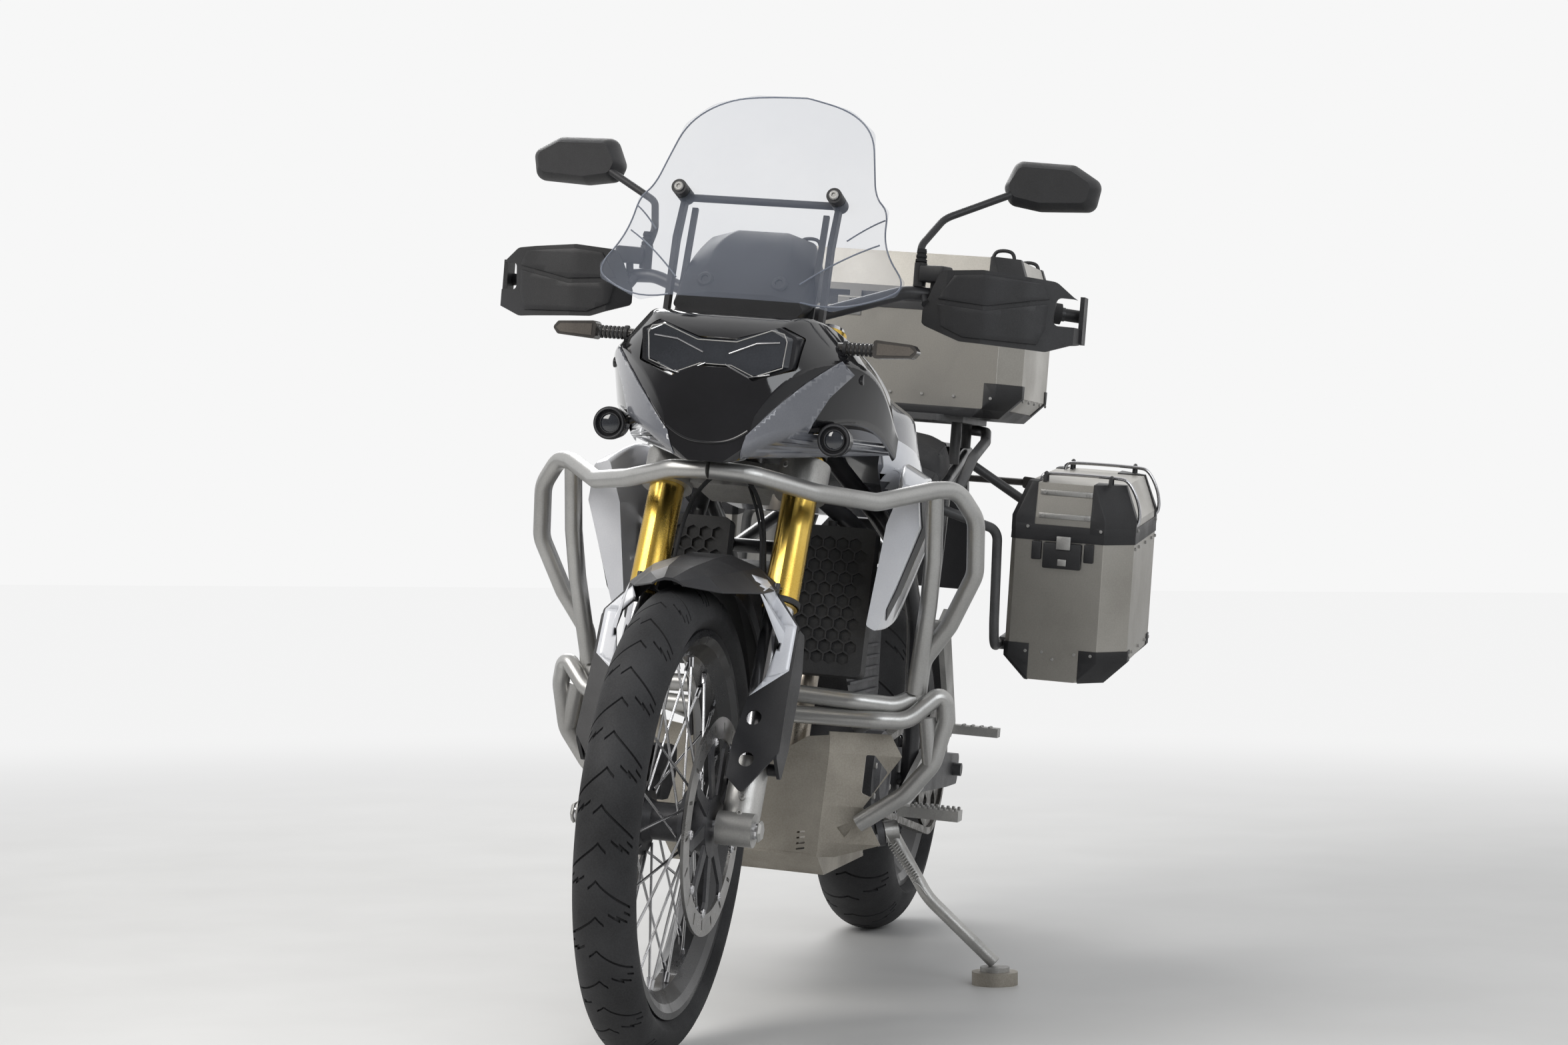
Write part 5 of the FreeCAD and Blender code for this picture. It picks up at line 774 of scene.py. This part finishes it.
def build_top_case_trim():
    """Corners, seam bands, rivets, hinges and lashing loops of the top case."""
    corners = []
    for low_x, high_x in ((-640, -574), (-956, -890)):
        for low_y, high_y in ((176, 241), (-241, -176)):
            corners.append(((low_x, low_y, 994), (high_x, high_y, 1058)))
    corners.append(((-956, -241, 994), (-574, 241, 1010)))
    corners.append(((-956, -241, 1186), (-574, 241, 1200.3)))
    case_covers("top_case_covers", "root", "top_case", PARKED, corners, (-765, 0, 1110))
    upper = [((-956, -241, 1200), (-574, 241, 1214))]
    for low_x, high_x in ((-650, -574), (-956, -880)):
        for low_y, high_y in ((168, 241), (-241, -168)):
            upper.append(((low_x, low_y, 1200), (high_x, high_y, 1293)))
    case_covers("top_lid_covers", "top_lid", "top_case_lid", PARKED, upper, (-765, 0, 1230))
    rivets = bmesh.new()
    for end, out in TOP_CASE_ENDS:
        for y in (-190, -120, -60, 0, 60, 120, 190):
            add_rivet(rivets, (end + 0.2 * out, y, 1030), (out, 0, 0))
    for side in (1, -1):
        for x in (-630, -700, -765, -830, -900):
            for level in (1030, 1176):
                add_rivet(rivets, (x, 240.2 * side, level), (0, side, 0))
    finish(rivets, "top_case_rivets", "cast_silver")
    hinges = bmesh.new()
    for y in (-90, 90):
        add_block(hinges, (-576, y - 22, 1168), (-572, y + 22, 1198), 1)
    finish(hinges, "top_case_hinges", "cast_silver")
    loop = [(-20, 1289), (-20, 1304), (0, 1309), (20, 1304), (20, 1289)]
    loops = [[(x, y + across, level) for across, level in loop] for x in (-622, -908) for y in (-186, 186)]
    tubing("top_lid_loops", "guard_black", loops, 7, "top_lid")


# Mudguard, tank and side panels

def build_mudguard_stripe():
    """White stripe with its arrow point on each fork shield."""
    upper = [(77, 369), (92, 378), (148, 311), (122, 313)]
    middle = [(122, 313), (148, 311), (148, 240), (115, 227)]
    point = [(115, 227), (148, 240), (95, 195)]
    skin_piece("mudguard_stripes", "panel_white", surface_of("front_fender", FORK), [upper, middle, point], 0,
               0.4, 0, "steering", FORK, cell=8, lift=0.3, start=80)


def build_body_trim():
    """Black band and silver line on the side panels, and the white lower sides of the tank."""
    panels = surface_of("side_panels")
    band = [(411, 668), (404, 700), (398, 800), (404, 852), (376, 862), (368, 800), (374, 690), (392, 650)]
    skin_piece("panel_bands", "fender_black", panels, [band], 1, 1.2, 0.3, cell=10)
    line = [(372, 690), (366, 800), (374, 862), (370, 863), (361, 800), (367, 690)]
    skin_piece("panel_lines", "cast_silver", panels, [line], 1, 1.6, 0.3, cell=10)
    lower = [(346, 866), (340, 908), (250, 934), (140, 912), (20, 868), (-20, 838), (60, 830), (200, 834),
             (300, 850)]
    skin_piece("tank_lower_panels", "panel_white", surface_of("fuel_tank"), [lower], 1, 1.6, 0.6)


def build_fuel_cap():
    """Round cap on the tank, with its ring of screws."""
    cap = bmesh.new()
    made = add_cone(cap, 48, 44, 41, 12)
    spot = surface_of("fuel_tank").ray_cast(Vector((150, 0, 1500)), Vector((0, 0, -1)))[0]
    bmesh.ops.translate(cap, vec=spot + Vector((0, 0, 4)), verts=made)
    top = top_face(made)
    for width, depth in ((6, 0), (1.5, -2), (16, 1)):
        inset(cap, top, width, depth)
    for turn in range(6):
        angle = radians(60 * turn)
        place = spot + Vector((36 * cos(angle), 36 * sin(angle), 9.6))
        add_bolt(cap, place, (0, 0, 1), 6, 2.5, sides=10)
    finish(cap, "fuel_cap", "cast_black")


# Wheel fittings

def build_nipples(name, body, place, bead):
    """A nipple where each spoke enters the rim, in line with its spoke."""
    nipples = bmesh.new()
    for index in range(SPOKES):
        side = 1 if index % 2 == 0 else -1
        lacing = 38 if index % 4 < 2 else -38
        rim_angle = radians(360 / SPOKES * index)
        hub_angle = rim_angle + radians(lacing)
        hub = Vector((46 * cos(hub_angle), side * 34, 46 * sin(hub_angle)))
        end = Vector(((bead - 24.2) * cos(rim_angle), side * 7, (bead - 24.2) * sin(rim_angle)))
        along = (end - hub).normalized()
        add_pin(nipples, end - along * 16, end - along * 0.5, 7.5, sides=8)
    finish(nipples, name, "chrome_tube", body, place)


def build_disc_buttons():
    """The floating buttons between each front disc and its carrier."""
    buttons = bmesh.new()
    for side in (1, -1):
        for index in range(9):
            spot = Matrix.Rotation(radians(40 * index), 4, "Y") @ Vector((126.5, side * 69, 0))
            add_bolt(buttons, spot, (0, side, 0), 15, 4, sides=14)
    finish(buttons, "disc_buttons", "chrome_tube", "front_wheel", FRONT_WHEEL)


# Windscreen, fog lamps and indicators

def build_screen_edge():
    """Dark edge of the windscreen and the pressed lines on its side wings."""
    tree = surface_of("windscreen")
    half = [(0, 1452), (44, 1451), (112, 1435), (150, 1401), (164, 1345), (175, 1297), (197, 1277),
            (200, 1234), (213, 1201), (239, 1168), (231, 1145), (150, 1113.5), (102, 1123)]
    upper = [(150, 1224), (176, 1250), (196, 1262)]
    lower = [(96, 1150), (146, 1196), (196, 1222)]
    routes = []
    for side in (1, -1):
        for route, lift in ((half, -1.6), (upper, -0.6), (lower, -0.6)):
            routes.append(lay(tree, [(0, y * side, z) for y, z in route], 0, lift=lift))
    tubing("screen_edge", "screen_edge", routes, 2.6)


def build_screen_fittings():
    """Bolts of the windscreen, and the dash's two bosses and side struts behind it."""
    bolts = bmesh.new()
    struts = bmesh.new()
    dash = surface_of("dash")
    for side in (1, -1):
        add_bolt(bolts, (544, side * 122, 1292.4), (1, 0, 0.22), 15, 4)
        add_bolt(struts, lay(dash, [(0, 58 * side, 1150)], 0, lift=0)[0], (1, 0, 0.5), 26, 5, sides=20)
    for side in (1, -1):
        verts = bmesh.ops.create_cube(struts, size=1)["verts"]
        bmesh.ops.scale(struts, vec=(7, 9, 176), verts=verts)
        leaning = Matrix.Translation((532, 104 * side, 1180)) @ Matrix.Rotation(radians(-19), 4, "Y")
        bmesh.ops.transform(struts, matrix=leaning, verts=verts)
    finish(bolts, "screen_bolts", "cast_silver")
    finish(struts, "screen_links", "guard_black")


def build_fog_glass():
    """Domed glass and two rims of each fog lamp."""
    glass = bmesh.new()
    rims = bmesh.new()
    for side in (1, -1):
        made = bmesh.ops.create_uvsphere(glass, u_segments=24, v_segments=12, radius=19)["verts"]
        bmesh.ops.delete(glass, geom=[vert for vert in made if vert.co.z < 11], context="VERTS")
        dome = [vert for vert in made if vert.is_valid]
        bmesh.ops.scale(glass, vec=(1.18, 1.18, 0.7), verts=dome)
        bmesh.ops.transform(glass, matrix=aimed(Vector((630, 174 * side, 922)), FORWARD), verts=dome)
        for x, dia in ((644.3, 47), (640.3, 32)):
            made = bmesh.ops.create_circle(rims, cap_ends=False, segments=32, radius=dia / 2)["verts"]
            grown = bmesh.ops.extrude_edge_only(rims, edges=edges_of(made))["geom"]
            inner = [item for item in grown if isinstance(item, bmesh.types.BMVert)]
            bmesh.ops.scale(rims, vec=(0.88, 0.88, 1), verts=inner)
            bmesh.ops.translate(rims, vec=(0, 0, 1.2), verts=inner)
            bmesh.ops.transform(rims, matrix=aimed(Vector((x, 174 * side, 922)), FORWARD), verts=made + inner)
    finish(glass, "fog_glass", "lens_clear", closed=False)
    thicken(finish(rims, "fog_rims", "cast_black", closed=False), 0.8, 0)


def build_signal_ribs():
    """Ribbed stalks and smoked lenses of the front indicators."""
    ribs = bmesh.new()
    for side in (1, -1):
        for step in range(6):
            y = 176 + 6.5 * step
            add_pin(ribs, (598, side * y, 1060.5), (598, side * (y + 3), 1060.5), 20, sides=16)
        add_pin(ribs, (598, side * 168, 1060.5), (598, side * 173, 1060.5), 24, sides=16)
    finish(ribs, "signal_ribs", "guard_black")
    lens = [(222, 1053), (272, 1055.5), (279, 1062), (272, 1068.5), (222, 1071)]
    lens_pair("signal_lenses", "signal_glass", 614.2, lens, FORWARD, ((2.5, 1.8), (3, 0.6)))


# Fork and handlebar

def build_fork_bolts():
    """Clamp bolts, axle nuts, caliper bolts and the boss that shares out the brake hoses."""
    mesh = bmesh.new()
    for side in (1, -1):
        for level in (552, 578, 780, 796):
            add_bolt(mesh, (12, side * 84, level), (1, -0.3 * side, 0), 11, 7)
        for level in (20, 44):
            add_bolt(mesh, (12, side * (FORK_LEG + 4), level), FORWARD, 9, 6)
        add_bolt(mesh, (0, side * (FORK_LEG + 34), 0), (0, side, 0), 34, 5, sides=6, socket=False)
        for x, z in ((-80, 88), (-96, 132)):
            add_bolt(mesh, (x, side * 96.2, z), (0, side, 0), 11, 5)
    boss = add_cone(mesh, 28, 17, 15, 10)
    bmesh.ops.transform(mesh, matrix=aimed(Vector((5, 0, 565)), FORWARD), verts=boss)
    finish(mesh, "fork_bolts", "cast_silver", "steering", FORK)


def build_fork_rings():
    """Dust ring and cable ring round each fork leg."""
    rings = bmesh.new()
    for side in (1, -1):
        for radius, depth, level in ((28.6, 16, 612), (28.4, 9, 361)):
            ring = add_cone(rings, 40, radius, radius, depth, capped=False)
            bmesh.ops.translate(rings, vec=(-15, side * FORK_LEG, level), verts=ring)
    thicken(finish(rings, "fork_rings", "guard_black", "steering", FORK), 2.2, 0.4)


def build_brake_hoses():
    """A hose from each caliper to the boss of the lower clamp, and the wheel sensor's wire."""
    hose = [(-100, 92, 150), (-108, 100, 190), (-66, 96, 250), (-34, 82, 330), (-14, 72, 410), (8, 62, 490),
            (18, 38, 540), (17, 9, 565)]
    tubing("brake_hoses", "grip_rubber", both_sides(hose), 6.5, "steering", FORK)
    wire = [(8, 30, 540), (14, 62, 480), (2, 70, 400), (-34, 84, 330), (-40, 92, 220), (-60, 88, 160)]
    tubing("sensor_wire", "grip_rubber", [wire], 4.5, "steering", FORK)


def build_switch_boxes():
    """Switch box and fluid reservoir beside each grip."""
    boxes = bmesh.new()
    for side in (1, -1):
        turn = Matrix.Rotation(radians(-20 * side), 4, "Z")
        add_block(boxes, (-20, -19, -22), (20, 19, 20), 5, Matrix.Translation((322, 288 * side, 1160)) @ turn)
        add_block(boxes, (-18, -22, -14), (16, 22, 12), 4, Matrix.Translation((352, 250 * side, 1196)) @ turn)
        add_pin(boxes, (348, 248 * side, 1168), (350, 249 * side, 1186), 12)
    finish(boxes, "switch_boxes", "guard_black", "steering")


def build_mirror_fittings():
    """Ribbed boots at the feet of the mirrors' stalks, and the mirrors' glass."""
    boots = bmesh.new()
    for side in (1, -1):
        y = 224 * side
        for step in range(4):
            add_pin(boots, (344, y, 1206 + 7 * step), (343.4, y, 1210 + 7 * step), 20 - 1.4 * step, sides=16)
        add_pin(boots, (344, y, 1204), (342.5, y, 1234), 14.5, sides=16)
    finish(boots, "mirror_boots", "grip_rubber", "steering")
    glass = [(326, 1353), (343, 1389), (428, 1387), (468, 1364), (461, 1327), (381, 1323), (334, 1331)]
    lens_pair("mirror_glass", "chrome_tube", 165.6, glass, BACKWARD, [(1.2, 0.5)], "steering", 35)


def build_guard_panels():
    """Raised panels above and below each handguard's crease."""
    upper = [(262, 1156), (286, 1194), (330, 1198), (420, 1191), (432, 1168), (340, 1150)]
    lower = [(262, 1148), (338, 1142), (430, 1160), (428, 1124), (418, 1096), (306, 1099), (270, 1114)]
    skin_piece("guard_panels", "guard_black", surface_of("handguards"), [upper, lower], 0, 2.2, 1.2,
               "steering", cell=10, lift=0.3)


# Engine, tail, stand and pegs

def build_engine_bolts():
    """Bolts round both engine covers and along the cases."""
    bolts = bmesh.new()
    for index in range(8):
        angle = radians(45 * index + 20)
        add_bolt(bolts, (60 + 66 * cos(angle), 168.2, 375 + 66 * sin(angle)), (0, 1, 0), 11, 5)
        add_bolt(bolts, (10 + 80 * cos(angle), -170.2, 372 + 80 * sin(angle)), (0, -1, 0), 11, 5)
    for side in (1, -1):
        for x, z in ((44, 650), (214, 618), (216, 640), (190, 690), (66, 704), (120, 706), (120, 634)):
            add_bolt(bolts, (x, side * 142.2, z), (0, side, 0), 11, 5)
    finish(bolts, "engine_bolts", "cast_silver")


def build_engine_fins():
    """Cooling fins of the cylinder, and the raised cap on each engine cover."""
    fins = bmesh.new()
    for side, cap_place in ((1, (60, 172, 374)), (-1, (10, -174, 374))):
        for step in range(5):
            level = 512 + 19 * step
            add_block(fins, (-30 + step * 4, side * 127, level), (196 + step * 4, side * 134, level + 5), 1.2)
        made = add_cone(fins, 40, 52, 46, 8)
        bmesh.ops.transform(fins, matrix=aimed(Vector(cap_place), (0, side, 0)), verts=made)
        cap = max((face for vert in made for face in vert.link_faces),
                  key=lambda face: face.calc_center_median().y * side)
        inset(fins, cap, 8)
        inset(fins, cap, 2, -2.5)
    finish(fins, "engine_fins", "engine_grey")


def build_tail_fittings():
    """Tail lens, reflector and the lenses of the rear indicators."""
    tree = surface_of("rear_fender")
    for name, outline, wall in (("tail_lens", [(-42, 909), (42, 909), (35, 944), (-35, 944)], 2.5),
                                ("rear_reflector", [(-34, 700), (34, 700), (34, 722), (-34, 722)], 3)):
        skin_piece(name, "tail_red", tree, [outline], 0, wall, 0.8, mirrored=False, side=-1)
    lens = [(200, 872), (244, 874.5), (248, 880), (244, 885.5), (200, 888)]
    lens_pair("rear_signal_lenses", "signal_glass", -1010.2, lens, BACKWARD, [(2, 1.6)])


def build_stand_spring():
    """Return spring of the side stand with its two hooks."""
    pivot = Vector((-85, 164, 270))
    foot = TO_UPRIGHT @ Vector((-0.06984, 0.29073, 0.036))
    start = pivot + Vector((26, 4, -14))
    end = pivot + (foot - pivot) * 0.45 + Vector((10, -16, -10))
    axis = (end - start).normalized()
    side = axis.cross(FORWARD).normalized()
    other = axis.cross(side)
    length = (end - start).length
    points = 15 * 8
    route = [start - axis * 10, start]
    for step in range(points + 1):
        angle = pi / 4 * step
        share = 0.06 + 0.66 * step / points
        route.append(start + axis * (length * share) + (side * cos(angle) + other * sin(angle)) * 7)
    route += [start + axis * (length * 0.8), end]
    tubing("stand_spring", "cast_silver", [route], 2.6, "stand")


def build_peg_teeth():
    """Grip teeth along the edges of each foot peg."""
    teeth = bmesh.new()
    for side in (1, -1):
        for step in range(9):
            y = side * (204 + 9.4 * step)
            for x in (-81, -49):
                add_block(teeth, (x - 2.5, y - 2.6, 317), (x + 2.5, y + 2.6, 323), 1)
        for step in range(4):
            y = side * (228 + 16 * step)
            add_block(teeth, (-366, y - 2.5, 439.5), (-344, y + 2.5, 442.5), 1)
    finish(teeth, "peg_teeth", "cast_silver")


# All pieces, in the order in which they are put on

build_seats()
build_tyre("front_tread", "front_tyre", "front_wheel", FRONT_WHEEL, FRONT_RADIUS, width=90, bead=FRONT_BEAD,
           rim_width=62, pairs=21, depth=3.4)
build_tyre("rear_tread", "rear_tyre", "rear_wheel", REAR_WHEEL, REAR_RADIUS, width=150, bead=REAR_BEAD,
           rim_width=108, pairs=15, depth=4.0)
build_nose()
build_lamp()
build_pannier_trim()
build_top_case_trim()
build_mudguard_stripe()
build_body_trim()
build_fuel_cap()
build_nipples("front_nipples", "front_wheel", FRONT_WHEEL, FRONT_BEAD)
build_nipples("rear_nipples", "rear_wheel", REAR_WHEEL, REAR_BEAD)
build_disc_buttons()
build_screen_edge()
build_screen_fittings()
build_fog_glass()
build_signal_ribs()
build_fork_bolts()
build_fork_rings()
build_brake_hoses()
build_switch_boxes()
build_mirror_fittings()
build_guard_panels()
build_engine_bolts()
build_engine_fins()
build_tail_fittings()
build_stand_spring()
build_peg_teeth()


# Stage, lights and camera

def build_floor():
    """A pale floor that fades into the background away from the motorcycle."""
    mesh = bmesh.new()
    bmesh.ops.create_grid(mesh, x_segments=1, y_segments=1, size=30)
    data = bpy.data.meshes.new("floor")
    mesh.to_mesh(data)
    mesh.free()
    ground = bpy.data.objects.new("floor", data)
    scene.collection.objects.link(ground)
    material, tree, shader = new_material("Pale floor")
    place = node(tree, "TexCoord").outputs["Object"]
    marks = node(tree, "TexNoise", {"Vector": place, "Scale": 3.0, "Detail": 6.0})
    tone = node(tree, "Mix", data_type="RGBA")
    feed(tree, tone, {"Factor": marks.outputs["Fac"], "A": (0.56, 0.555, 0.54, 1),
                      "B": (0.66, 0.655, 0.64, 1)})
    feed(tree, shader, {"Base Color": tone.outputs["Result"], "Roughness": 0.55})
    distance = node(tree, "VectorMath", {0: place}, operation="LENGTH").outputs["Value"]
    fade = node(tree, "MapRange", {"Value": distance, "From Min": 1.6, "From Max": 6.5},
                interpolation_type="SMOOTHSTEP")
    path = node(tree, "LightPath")
    seen = node(tree, "Math", {0: fade.outputs["Result"], 1: path.outputs["Is Camera Ray"]},
                operation="MULTIPLY")
    glow = node(tree, "Emission", {"Color": (0.90, 0.90, 0.90, 1), "Strength": 1.0})
    mix = node(tree, "MixShader", {"Fac": seen.outputs[0], 1: shader.outputs[0], 2: glow.outputs[0]})
    feed(tree, tree.nodes["Material Output"], {"Surface": mix.outputs[0]})
    data.materials.append(material)


def build_world():
    """Soft sky light, a pale room with a dark front for what mirrors it, and a plain background."""
    world = bpy.data.worlds.new("Studio")
    scene.world = world
    world.use_nodes = True
    tree = world.node_tree
    tree.nodes.clear()
    path = node(tree, "LightPath").outputs
    axes = node(tree, "SeparateXYZ", {0: node(tree, "TexCoord").outputs["Generated"]})
    front = node(tree, "MapRange", {"Value": axes.outputs["X"], "From Min": -0.1, "From Max": 0.75},
                 interpolation_type="SMOOTHSTEP")
    room = node(tree, "Mix", data_type="RGBA")
    feed(tree, room, {"Factor": front.outputs["Result"], "A": (0.88, 0.88, 0.88, 1),
                      "B": (0.16, 0.155, 0.15, 1)})
    shiny = node(tree, "Math", {0: path["Is Glossy Ray"], 1: path["Is Transmission Ray"]},
                 operation="MAXIMUM")
    sky = node(tree, "Background", {"Color": (0.94, 0.96, 1.0, 1), "Strength": 0.5})
    mirrored = node(tree, "Background", {"Color": room.outputs["Result"], "Strength": 1.0})
    backdrop = node(tree, "Background", {"Color": (0.93, 0.93, 0.93, 1), "Strength": 1.0})
    unseen = node(tree, "MixShader", {"Fac": shiny.outputs[0], 1: sky.outputs[0],
                                                2: mirrored.outputs[0]})
    whole = node(tree, "MixShader", {"Fac": path["Is Camera Ray"], 1: unseen.outputs[0],
                                               2: backdrop.outputs[0]})
    node(tree, "OutputWorld", {"Surface": whole.outputs[0]})


def area_light(name, place, aim, width, height, watts, colour):
    data = bpy.data.lights.new(name, "AREA")
    data.shape = "RECTANGLE"
    data.size = width
    data.size_y = height
    data.energy = watts
    data.color = colour
    lamp = bpy.data.objects.new(name, data)
    scene.collection.objects.link(lamp)
    lamp.location = place
    lamp.rotation_euler = (Vector(aim) - Vector(place)).to_track_quat("-Z", "Y").to_euler()


def build_camera():
    """The camera that took the photograph, fitted to the tyres, discs, cases and bars."""
    photo_width = 2352
    focal_pixels = 4793.66
    yaw = 0.235641
    pitch = 0.000911
    data = bpy.data.cameras.new("photo_camera")
    data.sensor_width = 36
    data.lens = focal_pixels / photo_width * data.sensor_width
    camera = bpy.data.objects.new("photo_camera", data)
    scene.collection.objects.link(camera)
    camera.location = (5.27785, 1.20739, 0.78751)
    look = Vector((-cos(yaw) * cos(pitch), -sin(yaw) * cos(pitch), -sin(pitch)))
    camera.rotation_euler = look.to_track_quat("-Z", "Y").to_euler()
    scene.camera = camera


build_floor()
build_world()
area_light("key", (3.2, -2.6, 3.6), (0.2, 0, 0.7), 3.0, 2.4, 150, (1.0, 0.98, 0.95))
area_light("fill", (3.6, 3.2, 2.6), (0.2, 0, 0.7), 3.0, 2.4, 70, (0.94, 0.97, 1.0))
area_light("rim", (-3.6, -1.6, 3.4), (-0.2, 0, 0.8), 2.5, 2.0, 90, (1.0, 1.0, 1.0))
build_camera()
